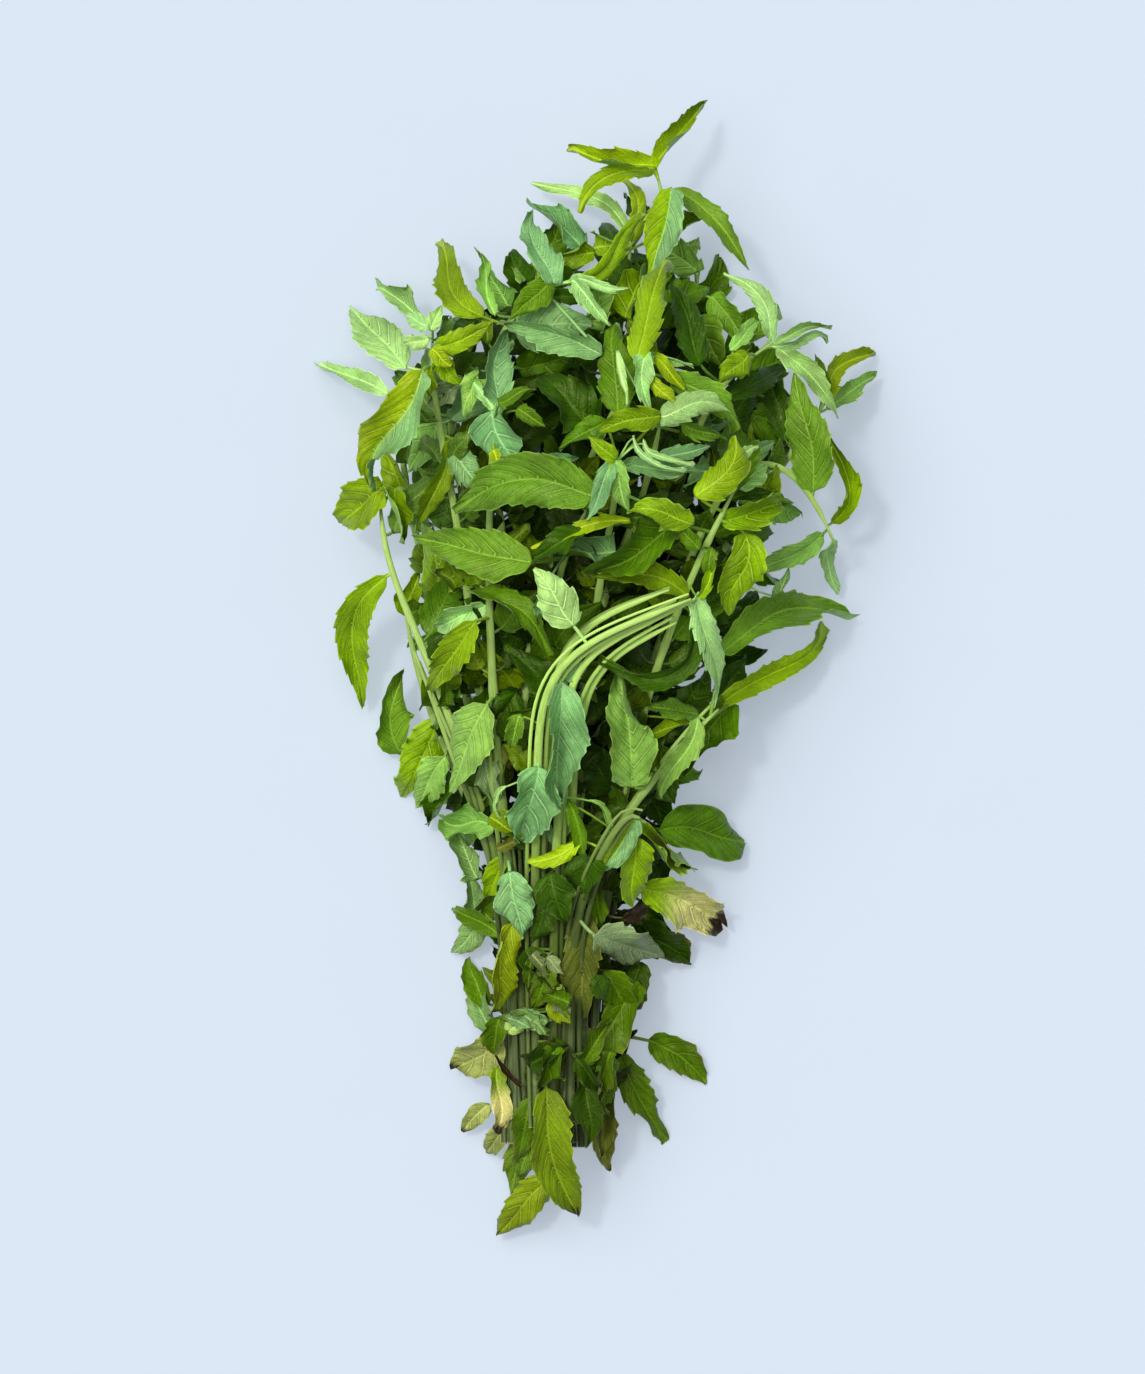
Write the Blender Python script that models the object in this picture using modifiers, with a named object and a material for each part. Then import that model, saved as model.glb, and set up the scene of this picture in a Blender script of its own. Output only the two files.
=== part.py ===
"""A bunch of mint lying on a table: leafy square stems held together at their cut ends.

Lengths in the tables are in millimetres, seen from above: X to the right, Y towards the leafy head
and Z up from the table. The script makes one object for each leafy stem, with its leaves fused to
it, and one for each wilted leaf that lies loose among them.
"""

import math

import bmesh
import bpy
import numpy as np
from mathutils.bvhtree import BVHTree

MM = 0.001
UP = np.array((0.0, 0.0, 1.0))

# Driving dimensions, in millimetres
CENTRE = (-0.5, 0.0)
BLADE_THICKNESS = 0.7
CLEARANCE = 0.32
STEM_RADIUS = 1.45
FLAT_HEIGHT = STEM_RADIUS * math.cos(math.pi / 4)
TIP_RADIUS = 0.9
STALK_HALF_WIDTH = 0.8
LEAST_STALK = 10.0
STEM_STEP = 4.0
BEND_TOLERANCE = 0.35
STEM_GAP = 0.75
LONG_LEAF = 27.0
WIDE_LEAF = 9.9
SMALL_LEAF = 5.6
ROOT_REACH = 7.0
ROOT_SPREAD = 1.5
LEAST_GAP = 0.5
FLOOR_GAP = 0.02
SLIVERS = (0.01, 0.007, 0.005, 0.014, 0.018, 0.003, 0.023, 0.03, 0.001)
LEAST_LEAF_FACES = 20
STALK_REACH = 34.0
PAIR_REACH = 6.0
NEAREST_STEMS = 5
WELD = 0.01

# How the stems are pushed apart: rounds, share of each overlap, and how far each round smooths them
PUSH_ROUNDS = 60
PUSH_SHARE = 1.2
SMOOTHING = 0.1

# Where along a stem it starts to grow slimmer
SLIM_FROM = 0.6

# A leaf's outline: how fast it widens at its base and narrows to its tip, and where its blade starts
BASE_POWER = 0.62
TIP_POWER = 0.95
BLADE_FROM = 0.04
TANGENT_STEP = 0.6

# Where the edge teeth start and how far they reach along a leaf, the length of a tooth's step, and
# how far its tip and its notch are out, as shares
FIRST_TOOTH = 0.17
TOOTH_SPAN = 0.66
TOOTH_STEP = 0.3
TOOTH_TIP = 1.06
TOOTH_NOTCH = 0.8

# What mint leaves do: angles in radians, then cup and wave as shares of the width
FOLD = (0.12, 0.5)
ROLL = (-0.3, 0.3)
TWIST = (-0.5, 0.5)
CUP = (0.0, 0.09)
WAVE = (0.04, 0.1)
TWIST_CENTRE = 0.4
WAVES = 1.6
WAVE_SHIFT = 0.25
ARCH = 0.09
STEEPEST = 0.25
TURNS = (0.0, 0.3, -0.3)

# The pile: Y, middle X, half width and height of its upper side
PILE = np.array((
    (-165, -12, 14, 8),
    (-130, -10, 19, 26),
    (-100, -9, 21, 32),
    (-60, -8, 26, 42),
    (-30, -8, 38, 54),
    (0, -3, 50, 64),
    (40, 0, 63, 72),
    (80, 0, 68, 70),
    (110, 0, 54, 56),
    (135, 2, 40, 38),
    (165, 8, 24, 20),
), dtype=float)
PILE_SPREAD = 1.2
LEAST_HEIGHT = 7.0

# Share of the pile's height at which a leaf of each layer lies, the lowest first
LAYERS = (0.0, 0.3, 0.52, 0.72, 0.9, 1.04)

# Rows of stems in the tied end: height above the table and the place of each stem across it
ROWS = (
    (FLAT_HEIGHT, (-20.0, -14.7, -9.3, -4.0)),
    (5.7, (-23.0, -17.5, -12.0, -6.5, -1.0)),
    (10.0, (-24.0, -18.0, -12.0, -6.0, 0.0)),
    (14.3, (-23.5, -17.5, -12.0, -6.5, -0.5)),
    (18.6, (-20.5, -14.8, -9.2, -3.5)),
    (22.9, (-17.0, -12.0, -7.0)),
)
FOOT_Y = -128.0
FOOT_SPREAD = 7.0
TIED_Y = -92.0

# Each stem: name, its row and place in the tied end, and the points it passes above it
STEMS = (
    ("stem_floor_left", 0, 0, ((-27, -50, 3), (-38, 0, 5), (-52, 40, 8), (-56, 78, 12))),
    ("stem_floor", 0, 1, ((-14, -50, FLAT_HEIGHT), (-12, 0, FLAT_HEIGHT), (-12, 45, FLAT_HEIGHT), (-14, 75, 4),
                          (-17, 100, 9), (-18, 118, 12))),
    ("stem_floor_middle", 0, 2, ((-4, -50, 3), (8, 0, 4), (20, 50, 6), (26, 90, 9), (29, 112, 12))),
    ("stem_floor_right", 0, 3, ((3, -50, 3), (20, 0, 5), (40, 40, 8), (52, 62, 12), (55, 78, 15))),
    ("stem_lower_left", 1, 0, ((-31, -45, 12), (-44, -20, 14), (-52, 5, 16), (-53.5, 16, 17))),
    ("stem_inner_left", 1, 1, ((-21, -20, 10), (-30, 25, 16), (-41, 60, 22), (-40, 92, 24),
                               (-34, 101, 24))),
    ("stem_crown", 1, 2, ((-6, -20, 12), (-2, 30, 14), (4, 80, 18), (9, 108, 20), (10, 122, 22))),
    ("stem_top", 1, 3, ((2, -20, 16), (8, 30, 22), (14, 80, 28), (20, 118, 28), (21, 135.5, 27),
                        (16.5, 141, 27))),
    ("stem_right", 1, 4, ((12, -20, 10), (30, 25, 18), (48, 52, 24), (60, 66, 26), (64, 75, 27))),
    ("stem_left", 2, 0, ((-31, -20, 22), (-37, 30, 34), (-43, 65, 43), (-47, 84, 46),
                         (-45.5, 96, 44))),
    ("stem_upper_left", 2, 1, ((-21, -20, 19), (-25, 30, 29), (-31, 75, 38), (-27, 99, 43),
                               (-12, 108, 46))),
    ("stem_big_leaf", 2, 2, ((-13, -20, 27), (-13, 10, 38), (-9, 35, 50), (-1, 47, 59))),
    ("stem_right_upper", 2, 3, ((2, -20, 20), (12, 20, 28), (24, 55, 36), (34, 83, 43),
                                (43, 88, 45), (49, 91, 44))),
    ("stem_outer_right", 2, 4, ((10, -20, 22), (22, 20, 30), (35, 52, 37), (44, 64, 38),
                                (54, 59.5, 36), (61, 50, 33), (65, 42, 31), (66.5, 36, 30))),
    ("stem_outer_left", 3, 0, ((-27, -55, 22), (-32, -38, 26), (-41, -14, 29), (-46, 1, 30),
                               (-52, 15, 30), (-58.5, 28, 29), (-62, 39, 28), (-60.5, 49, 28))),
    ("stem_middle_upper", 3, 1, ((-20, -28, 32), (-20, 0, 34), (-10, 40, 38), (4, 70, 48),
                                 (12, 86, 60))),
    ("stem_middle", 3, 2, ((-6, -20, 28), (2, 20, 36), (14, 50, 48), (18, 70, 66))),
    ("stem_star", 3, 3, ((-4, -20, 34), (0, 18, 46), (5, 46, 58), (8, 64, 64), (5.5, 58, 71))),
    ("stem_fan", 3, 4, ((6, -45, 26), (12, -15, 34), (20, 10, 48), (25, 23, 56), (30, 33, 61),
                        (33, 42, 63), (39, 51, 60))),
    ("stem_middle_left", 4, 0, ((-27, -30, 36), (-29, 0, 44), (-30, 35, 50), (-28, 73, 60))),
    ("stem_bent_inner", 4, 1, ((-15, -45, 34), (-13, -20, 42), (-12, 0, 52), (-7, 12, 62),
                               (0, 15, 66), (8, 18, 67), (20, 22, 68))),
    ("stem_bent_lower", 4, 2, ((-8, -45, 34), (-5, -20, 44), (-4, -3, 52), (0, 4, 56),
                               (6, 6.5, 58), (15, 9, 60), (22, 13, 61))),
    ("stem_side_right", 4, 3, ((-1, -60, 30), (5, -42, 36), (15, -33, 40), (24, -20, 42),
                               (29, -12, 42), (34, -11, 40))),
    ("stem_bent_outer", 5, 0, ((-17, -50, 36), (-16, -28, 46), (-16.5, -10, 56), (-14, 0, 62),
                               (-8, 6, 66), (0, 10, 68), (10, 13, 69), (26, 19.5, 70))),
    ("stem_bent_middle", 5, 1, ((-11, -45, 40), (-9, -20, 50), (-9, 0, 58), (-3, 7, 62),
                                (5, 9.5, 64), (15, 12, 65), (23, 17, 66))),
    ("stem_side_low", 5, 2, ((-5, -62, 36), (3, -48, 43), (9, -37, 49), (11, -32, 51),
                             (12, -41, 54))),
)

# Each leaf that is seen from above: layer, width, and the points from its base to its tip
LEAVES = (
    # The top sprig and the crown
    (4, 6.5, (16.5, 141), (23, 149), (30.5, 159)),
    (4, 7.5, (16, 141), (4, 142), (-8.5, 147)),
    (3, 6.5, (16, 140), (8, 140), (0, 136), (-5.5, 128)),
    (2, 4.5, (10.5, 122), (11, 131), (8, 139)),
    (1, 4.5, (10, 122), (2, 132), (-18.5, 137)),
    (4, 11, (21, 135), (18, 122), (14, 107)),
    (3, 6.5, (22, 135), (30, 129), (37, 122), (43, 111.5)),
    (5, 8.5, (11, 85.5), (15, 101), (21, 117.5)),
    (3, 5.5, (-7, 108.3), (3, 114), (14.5, 127.5)),
    (4, 9, (-12, 107.5), (-16, 117), (-18, 128)),
    (1, 9, (-3, 118), (-18.5, 131)),
    (2, 7, (0, 117), (-13, 115)),
    (2, 6, (-1, 118), (9, 119)),
    (4, 6, (-6, 108), (4, 95)),
    (4, 8.5, (-13, 108), (-24, 97)),
    (3, 7, (-13, 107), (-12, 95)),
    (1, 8, (-14, 104), (-24, 115)),
    (1, 9, (20, 113), (29, 122)),
    (1, 7, (20, 123), (33, 129)),
    (0, 11, (27, 98), (35, 117)),
    (1, 10, (28, 112), (16, 122)),
    (0, 9, (12, 100), (4, 120)),
    (1, 8, (-24, 101), (-30, 112)),
    # The right shoulder
    (3, 6, (49, 92), (48.5, 101), (44, 107.5), (35, 111.5)),
    (3, 4, (49, 91), (57, 94.5), (65.5, 95.5)),
    (3, 7.5, (50, 90.5), (57, 84), (67.5, 70.5)),
    (4, 8, (42.5, 88), (34, 79)),
    (4, 5, (37, 88.5), (46, 97)),
    (3, 13, (60.5, 49), (59, 66), (55, 83)),
    (2, 6, (64.5, 75), (68, 84), (79, 90)),
    (2, 5.5, (64.5, 73), (70, 77), (79, 83)),
    (2, 5, (64, 79), (62, 88)),
    (2, 6, (66, 41), (71, 47), (70, 56), (64, 67)),
    (3, 5, (66.5, 36), (64.5, 32), (68.5, 20.5)),
    (2, 7, (64, 38.5), (53, 31), (40, 26)),
    (3, 10.5, (35, 5), (52, 15.5), (73, 15)),
    (2, 7, (33, -11), (45, -5), (56, 3), (67.5, 14)),
    (4, 11, (41, 39), (41, 28), (37, 15)),
    (4, 10.5, (34, 41), (53.5, 46.5)),
    (5, 9, (27, 47.5), (35, 55), (38.5, 65.5)),
    (4, 6.5, (6.5, 57), (18, 54), (31, 55)),
    (3, 6, (40, 50), (47, 57)),
    (1, 12, (42, 72), (62, 66)),
    (1, 11, (40, 80), (56, 90)),
    (1, 11, (38, 88), (52, 101)),
    (0, 11, (35, 33), (52, 24)),
    (0, 11, (30, 2), (47, 6)),
    (1, 11, (44, 50), (58, 43)),
    # The middle of the head
    (4, 9.5, (2, 87), (-10, 93), (-26.5, 97)),
    (4, 10, (-27, 75), (-28, 85), (-25, 94.5)),
    (4, 14, (-29, 72), (-26, 63), (-20, 54)),
    (3, 8.5, (-40, 61), (-31, 49)),
    (2, 8, (-35, 72), (-40, 58)),
    (3, 9.5, (-22, 56), (-5, 59)),
    (3, 15, (0, 66), (-7, 74), (-16, 82)),
    (2, 13, (-22, 84), (-6, 88)),
    (4, 10.5, (6, 70), (6, 83), (3.5, 97)),
    (5, 6.5, (13.5, 87), (13, 79), (15, 71)),
    (4, 5, (13.5, 87), (27, 84)),
    (4, 9, (20, 81), (31, 76), (41.5, 67)),
    (5, 8, (18, 70), (27, 73), (38, 71)),
    (5, 7.5, (18, 70), (9, 68), (-1, 64)),
    (4, 7, (3, 69), (-11, 61)),
    (3, 9, (29, 84), (26, 96), (20, 108)),
    (2, 12, (28, 99), (35, 84)),
    (2, 9, (32, 105), (42, 92)),
    (2, 11, (8, 98), (14, 112)),
    (2, 11, (-4, 96), (4, 108)),
    (5, 6, (5.5, 57.5), (8.5, 43)),
    (5, 5.5, (4.5, 57), (-3, 40.5)),
    (5, 15, (0, 47.5), (-18, 52), (-41, 44.5)),
    (4, 13, (-17, 29.5), (-33, 32), (-51, 37)),
    (4, 8, (-3, 38.5), (-18, 30)),
    (5, 8.5, (27, 40), (18, 44), (8, 44)),
    (4, 12.5, (22, 40.5), (12, 32), (-1, 27)),
    (3, 9, (6, 33), (-8, 31.5)),
    (4, 7.5, (26, 20), (12, 27), (-3, 26)),
    (5, 5, (28.5, 33), (22, 41)),
    (5, 8, (28, 19.5), (31, 6), (33, -11)),
    (4, 6, (26, 17), (24, 4), (14, -2), (0, 2.5)),
    (5, 11, (-6, 12), (-11, 20), (-18, 28)),
    (4, 6, (-12, 27), (-16, 12)),
    (4, 8, (-36, 22), (-21, 17), (-12.5, 3)),
    (3, 9.5, (-30, 18), (-46, 11)),
    (4, 10, (-33, 14), (-39, 4), (-48, -7)),
    # The left shoulder
    (3, 10, (-58, 27), (-68, 19), (-71, 7), (-65.5, -11)),
    (3, 13.5, (-59, 51), (-72.5, 41)),
    (5, 14.5, (-48, 84), (-56, 67), (-64, 49)),
    (2, 6, (-58, 77), (-69, 81), (-80, 87.5)),
    (2, 11.5, (-53, 84), (-61, 93), (-70, 104)),
    (1, 6, (-48, 97), (-62, 109)),
    (4, 7, (-45, 89), (-38, 91), (-28.5, 97)),
    (4, 6.5, (-44, 88), (-38, 79)),
    (3, 9, (-31, 98), (-40, 107), (-45.5, 122.5)),
    (4, 5, (-28, 98), (-31, 107), (-33, 117)),
    (2, 10, (-29, 98), (-43, 92)),
    (3, 6.5, (-40, 65), (-44, 52), (-51, 37)),
    (3, 9, (-56, 51), (-54, 35)),
    (2, 11, (-43, 70), (-53, 55)),
    (3, 7, (-36, 81), (-47, 74)),
    (1, 10, (-55, -24), (-57, -12), (-54, 0)),
    (1, 11, (-44, -13), (-54, -38)),
    (2, 9, (-42, -24), (-51, -39)),
    (4, 14, (-30, -9), (-36, -20), (-41, -34)),
    (1, 8.5, (-40, 13), (-53, 6)),
    (0, 12, (-38, 40), (-52, 30)),
    (0, 12, (-42, 60), (-60, 66)),
    # The lower middle
    (4, 16, (-16, -27), (-18, -37), (-20.5, -49)),
    (4, 13.5, (-9.5, -3), (-11.5, -18), (-10, -38)),
    (4, 14.5, (10, -33), (9, -18), (5.5, -0.5)),
    (4, 8, (11.5, -41), (7, -49), (-0.5, -57)),
    (4, 9, (11, -46), (10.5, -65)),
    (4, 8.5, (12, -41.5), (18, -50), (25, -55)),
    (3, 8, (6, -46), (-3, -53)),
    (4, 5.5, (-4, -47), (-11, -52), (-20.5, -54)),
    (4, 6, (-25, -39), (-22, -48)),
    (3, 9, (-28, -44), (-43, -42)),
    (3, 9, (-22, -6), (-29, -18)),
    (2, 10, (-16, -2), (-14, -22)),
    (2, 9, (-26, -14), (-20, -30)),
    (3, 9, (-31, -22), (-29, -40)),
    (3, 7, (29, -12.5), (12, -10)),
    (4, 7, (28.5, -12.5), (24, -25), (18, -37.5)),
    (2, 11, (38, -9), (24, -28)),
    (2, 6, (20, -30), (29, -28.5)),
    (2, 13, (17, -45), (30, -46), (43, -48)),
    (2, 10, (3, -22), (-4, -40)),
    (2, 11, (14, -20), (22, -38)),
    (2, 10, (-34, -40), (-41, -50)),
    # The tied end, with its older leaves
    (1, 12, (11, -69), (18, -76), (26.5, -83)),
    (4, 13, (-1, -74), (9, -77), (19.5, -81)),
    (3, 10, (-2, -66), (-5, -98)),
    (4, 11, (-24, -56), (-20.5, -75)),
    (3, 8, (-25, -51.5), (-31, -64)),
    (2, 11, (-13, -52), (-24, -64)),
    (2, 8, (-24, -62), (-33, -68)),
    (2, 5.5, (-26, -75), (-42, -66)),
    (1, 8.5, (-30, -69), (-41.5, -80)),
    (1, 7.5, (-33, -72), (-36, -56)),
    (2, 8, (-33, -59), (-40, -44)),
    (1, 7.5, (-31, -95), (-37, -81)),
    (1, 7.5, (-29, -102), (-37, -90)),
    (3, 9, (-20, -78), (-10, -90)),
    (4, 7, (-12, -82), (-18, -95)),
    (4, 6, (-13, -98), (-26, -97)),
    (2, 9, (13, -82), (6.5, -99)),
    (3, 10, (12, -87), (4, -99), (-4, -111)),
    (0, 10, (15, -104), (24, -109), (31.5, -117)),
    (1, 9, (6, -107), (12, -120), (21, -134)),
    (2, 8, (-1, -109), (2, -125)),
    (2, 7, (1, -121), (4, -141)),
    (2, 10, (-17, -124), (-24, -148)),
    (3, 8, (-8, -105), (-19, -110)),
    (1, 6.5, (-25, -127), (-31, -137)),
    (2, 10, (-8, -60), (4, -72)),
    (2, 9, (4, -60), (12, -62)),
)

# Wilted leaves that lie loose in the bunch: name, layer, width and points from base to tip
LOOSE_LEAVES = (
    ("leaf_wilted_right", 3, 12, ((12, -61), (24, -64), (36, -72))),
    ("leaf_yellow_spotted", 4, 9, ((-23, -70), (-27, -84), (-27, -98))),
    ("leaf_long_end", 5, 13, ((-14, -116), (-12, -133), (-5, -153))),
    ("leaf_pale_end", 3, 10, ((-11, -142), (-19, -150), (-28, -159))),
    ("leaf_wilted_left", 3, 12, ((-26, -104), (-39, -112))),
    ("leaf_cream_curled", 4, 6, ((-28, -111), (-26, -122), (-28, -131))),
)

# Colours: stem object and loose leaf, as red, green, blue
STEM_COLOUR = (0.20, 0.36, 0.06)
LOOSE_COLOURS = (
    (0.32, 0.33, 0.06),
    (0.33, 0.34, 0.03),
    (0.24, 0.34, 0.03),
    (0.34, 0.42, 0.07),
    (0.36, 0.36, 0.12),
    (0.48, 0.46, 0.20),
)
ROUGHNESS = 0.55

# Leaf pairs that fill the sides and the underside: spacing along a stem, length, width and where
# they start, how far they point out and ahead, and the lowest that their middles and tips come
PAIR_SPACING = 48.0
PAIR_LENGTH = (26.0, 40.0)
PAIR_WIDTH = (10.0, 14.0)
PAIR_START_Y = -40.0
PAIR_CEILING = 0.8
PAIR_DROOP = 0.2
PAIR_OUT = 0.78
PAIR_AHEAD = 0.6
PAIR_ROOT = 3.0
PAIR_TURN = 0.4
MIDDLE_FLOOR = 1.5
TIP_FLOOR = 1.0
PAIR_SWINGS = (0, 0.4, -0.4, 0.8, -0.8)

# Numbers that the random draws start from, one for the stems, the leaves and the pairs
SEED = 11
LEAF_SEEDS = 1000
PAIR_SEEDS = 77
FIRST_PAIR = 2000
PAIRS_PER_STEM = 60

# Share of the pile's width that the leaf pairs keep to, at places along Y: the crown is open
INSIDE_Y = (-20.0, 10.0, 60.0, 85.0, 118.0, 128.0)
INSIDE_SHARE = (1.0, 0.78, 0.8, 0.95, 0.65, 0.0)

# Heights tried in turn for a seen leaf, from its layer's own
LIFTS = (0, 1.5, -1.5, 3, -3, 4.5, -4.5, 6, -6, 8, -8, 10, 12, 14)


def pile_at(x, y):
    """Height of the pile's upper side: an ellipse across the bunch, from the rows of PILE."""
    middle = np.interp(y, PILE[:, 0], PILE[:, 1])
    half = np.interp(y, PILE[:, 0], PILE[:, 2]) * PILE_SPREAD
    height = np.interp(y, PILE[:, 0], PILE[:, 3])
    across = np.minimum(1.0, np.abs(x - middle) / half)
    return np.maximum(LEAST_HEIGHT, height * np.sqrt(1.0 - across ** 2))


def smooth_line(points, per_span=10):
    """A Catmull-Rom curve through the points."""
    points = np.asarray(points, dtype=float)
    if len(points) < 3:
        return points[0] + np.linspace(0, 1, per_span + 1)[:, None] * (points[-1] - points[0])
    padded = np.vstack((2 * points[0] - points[1], points, 2 * points[-1] - points[-2]))
    t = np.linspace(0, 1, per_span, endpoint=False)[:, None]
    spans = []
    for a, b, c, d in zip(padded, padded[1:], padded[2:], padded[3:]):
        spans.append(0.5 * (2 * b + (c - a) * t + (2 * a - 5 * b + 4 * c - d) * t ** 2
                            + (3 * b - a - 3 * c + d) * t ** 3))
    spans.append(points[-1][None, :])
    return np.vstack(spans)


def even_steps(line, step):
    """The line read again at even distances along it."""
    lengths = np.concatenate(((0.0,), np.cumsum(np.linalg.norm(np.diff(line, axis=0), axis=1))))
    at = np.linspace(0, lengths[-1], max(3, int(round(lengths[-1] / step)) + 1))
    return np.stack([np.interp(at, lengths, line[:, k]) for k in range(3)], axis=1)


def stem_lines():
    """The middle line of every stem, pushed apart until no two stems touch."""
    rng = np.random.default_rng(SEED)
    lines = []
    for _, row, place, route in STEMS:
        z, places = ROWS[row]
        x = places[place]
        foot = FOOT_Y + rng.uniform(-FOOT_SPREAD, FOOT_SPREAD)
        points = ((x, foot, z), (x, TIED_Y, z)) + route
        lines.append(even_steps(smooth_line(points), STEM_STEP))
    owner = np.concatenate([np.full(len(line), k) for k, line in enumerate(lines)])
    pinned = np.array([STEMS[k][0] == "stem_floor" for k in owner])
    points = np.vstack(lines)
    first = np.concatenate(((True,), owner[1:] != owner[:-1]))
    last = np.concatenate((owner[1:] != owner[:-1], (True,)))
    inner = ~(first | last)
    least = 2 * STEM_RADIUS + STEM_GAP
    for _ in range(PUSH_ROUNDS):
        apart = points[:, None, :] - points[None, :, :]
        distance = np.linalg.norm(apart, axis=2) + 1e-9
        near = (distance < least) & (owner[:, None] != owner[None, :])
        push = (apart / distance[..., None] * (near * (least - distance) * 0.5)[..., None]).sum(axis=1)
        counts = np.maximum(1, near.sum(axis=1))[:, None]
        push = push / counts * PUSH_SHARE
        push[pinned] = 0
        points = points + push
        relaxed = points.copy()
        relaxed[1:-1] = points[1:-1] * (1 - 2 * SMOOTHING) + (points[:-2] + points[2:]) * SMOOTHING
        points = np.where((inner & ~pinned)[:, None], relaxed, points)
        points[:, 2] = np.maximum(points[:, 2], FLAT_HEIGHT)
    return [points[owner == k] for k in range(len(STEMS))]


def cad_points(line):
    """The points of a stem's line that its solid keeps: those where it leaves a straight run."""
    kept = [0]
    while kept[-1] < len(line) - 1:
        start = kept[-1]
        end = start + 1
        while end < len(line) - 1:
            run = line[end + 1] - line[start]
            run /= np.linalg.norm(run)
            between = line[start:end + 1] - line[start]
            off = between - (between @ run)[:, None] * run
            if np.linalg.norm(off, axis=1).max() > BEND_TOLERANCE:
                break
            end += 1
        kept.append(end)
    return line[kept]


def stem_radii(count):
    """Radius at each point: even for most of the stem, slimmer near its tip."""
    along = np.linspace(0, 1, count)
    slim = np.clip((along - SLIM_FROM) / (1 - SLIM_FROM), 0, 1)
    return STEM_RADIUS + (TIP_RADIUS - STEM_RADIUS) * slim


def blade_outline(u):
    """Half width of a leaf at u from base to tip: round below, drawn out to a point above."""
    peak = BASE_POWER / (BASE_POWER + TIP_POWER)
    most = peak ** BASE_POWER * (1 - peak) ** TIP_POWER
    u = np.clip(u, 0, 1)
    return u ** BASE_POWER * (1 - u) ** TIP_POWER / most


def read_line(line, lengths, at):
    """Points at the given distances along a line."""
    return np.stack([np.interp(at, lengths, line[:, k]) for k in range(3)], axis=-1)


def blade_points(spine, start, width, shape, u, v):
    """Points of a leaf at u along its blade and v across it, from -1 to 1.

    The midrib follows the spine, whose first share, the start, is the stalk: u is below 0 there.
    Each half leans up from the midrib by the fold angle, the whole blade turns about it by the
    roll, the edges droop by the cup and swing up and down by the wave.
    """
    fold, roll, twist, cup, wave, phase = shape
    lengths = np.concatenate(((0.0,), np.cumsum(np.linalg.norm(np.diff(spine, axis=0), axis=1))))
    at = np.clip(start + (1 - start) * u, 0, 1) * lengths[-1]
    middle = read_line(spine, lengths, at)
    ahead = read_line(spine, lengths, at + TANGENT_STEP)
    tangent = ahead - read_line(spine, lengths, at - TANGENT_STEP)
    tangent /= np.linalg.norm(tangent, axis=-1, keepdims=True)
    level = spine[-1] - spine[0]
    across = np.array((level[1], -level[0], 0.0)) / (math.hypot(level[0], level[1]) + 1e-9)
    side = across - tangent * (tangent @ across)[..., None]
    side /= np.linalg.norm(side, axis=-1, keepdims=True)
    normal = np.cross(side, tangent)
    angle = (roll + twist * (np.maximum(u, 0) - TWIST_CENTRE))[..., None]
    side, normal = (side * np.cos(angle) + normal * np.sin(angle),
                    normal * np.cos(angle) - side * np.sin(angle))
    open_half = width / 2 * blade_outline(u)
    half = (np.where(u > BLADE_FROM, open_half, STALK_HALF_WIDTH) * v)[..., None]
    spread = (blade_outline(u) * v ** 2)[..., None]
    turns = WAVES * u + phase + WAVE_SHIFT * np.sign(v)
    swing = wave * np.sin(2 * math.pi * turns)[..., None]
    rise = np.abs(half) * math.sin(fold) + (swing - cup) * spread
    return middle + side * half * math.cos(fold) + normal * rise


def coarse_blade(spine, start, width, shape, teeth):
    """Points and triangles of a leaf's open surface, with forward-pointing teeth on each side.

    A leaf near its stem starts as a point inside it. One farther away starts as a flat stalk.
    """
    tips = FIRST_TOOTH + TOOTH_SPAN * np.arange(teeth) / teeth
    notches = tips + TOOTH_STEP / teeth
    edge_u = np.column_stack((tips, notches)).ravel()
    edge_v = np.tile((TOOTH_TIP, TOOTH_NOTCH), teeth)
    rib_u = (tips + notches) / 2
    root_u = -start / (1 - start)
    u = np.concatenate(((root_u,), rib_u, (1.0,), edge_u, edge_u))
    v = np.concatenate(((0.0,), np.zeros(teeth), (0.0,), edge_v, -edge_v))
    apex = teeth + 1
    faces = []
    for first, turn in ((apex + 1, False), (apex + 1 + 2 * teeth, True)):
        half = [(0, first, 1)]
        for k in range(teeth):
            tip, notch, rib = first + 2 * k, first + 2 * k + 1, k + 1
            half.append((tip, notch, rib))
            if k + 1 < teeth:
                half.append((notch, notch + 1, rib + 1))
                half.append((notch, rib + 1, rib))
            else:
                half.append((notch, apex, rib))
        faces += [face[::-1] for face in half] if turn else half
    if has_stalk(spine, start):
        right, left = apex + 1, apex + 1 + 2 * teeth
        base = len(u)
        u = np.concatenate((u, (0.0, 0.0, root_u)))
        v = np.concatenate((v, (1.0, -1.0, -1.0)))
        v[0] = 1.0
        faces = [face for face in faces if 0 not in face]
        faces += [(base, right, 1), (1, left, base + 1), (base, 1, base + 1)]
        faces += [(0, base, base + 1), (0, base + 1, base + 2)]
    points = blade_points(spine, start, width, shape, u, v)
    return points, np.array(faces)[:, ::-1]


def has_stalk(spine, start):
    """Whether the stalk's share of a spine is long enough to be made as a stalk."""
    return start * np.linalg.norm(np.diff(spine, axis=0), axis=1).sum() > LEAST_STALK


def surface_normals(points, faces):
    """The normal at each point of an open surface, from the faces round it."""
    a, b, c = (points[faces[:, k]] for k in range(3))
    across = np.cross(b - a, c - a)
    normals = np.zeros_like(points)
    for k in range(3):
        np.add.at(normals, faces[:, k], across)
    return normals / (np.linalg.norm(normals, axis=1, keepdims=True) + 1e-9)


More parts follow.
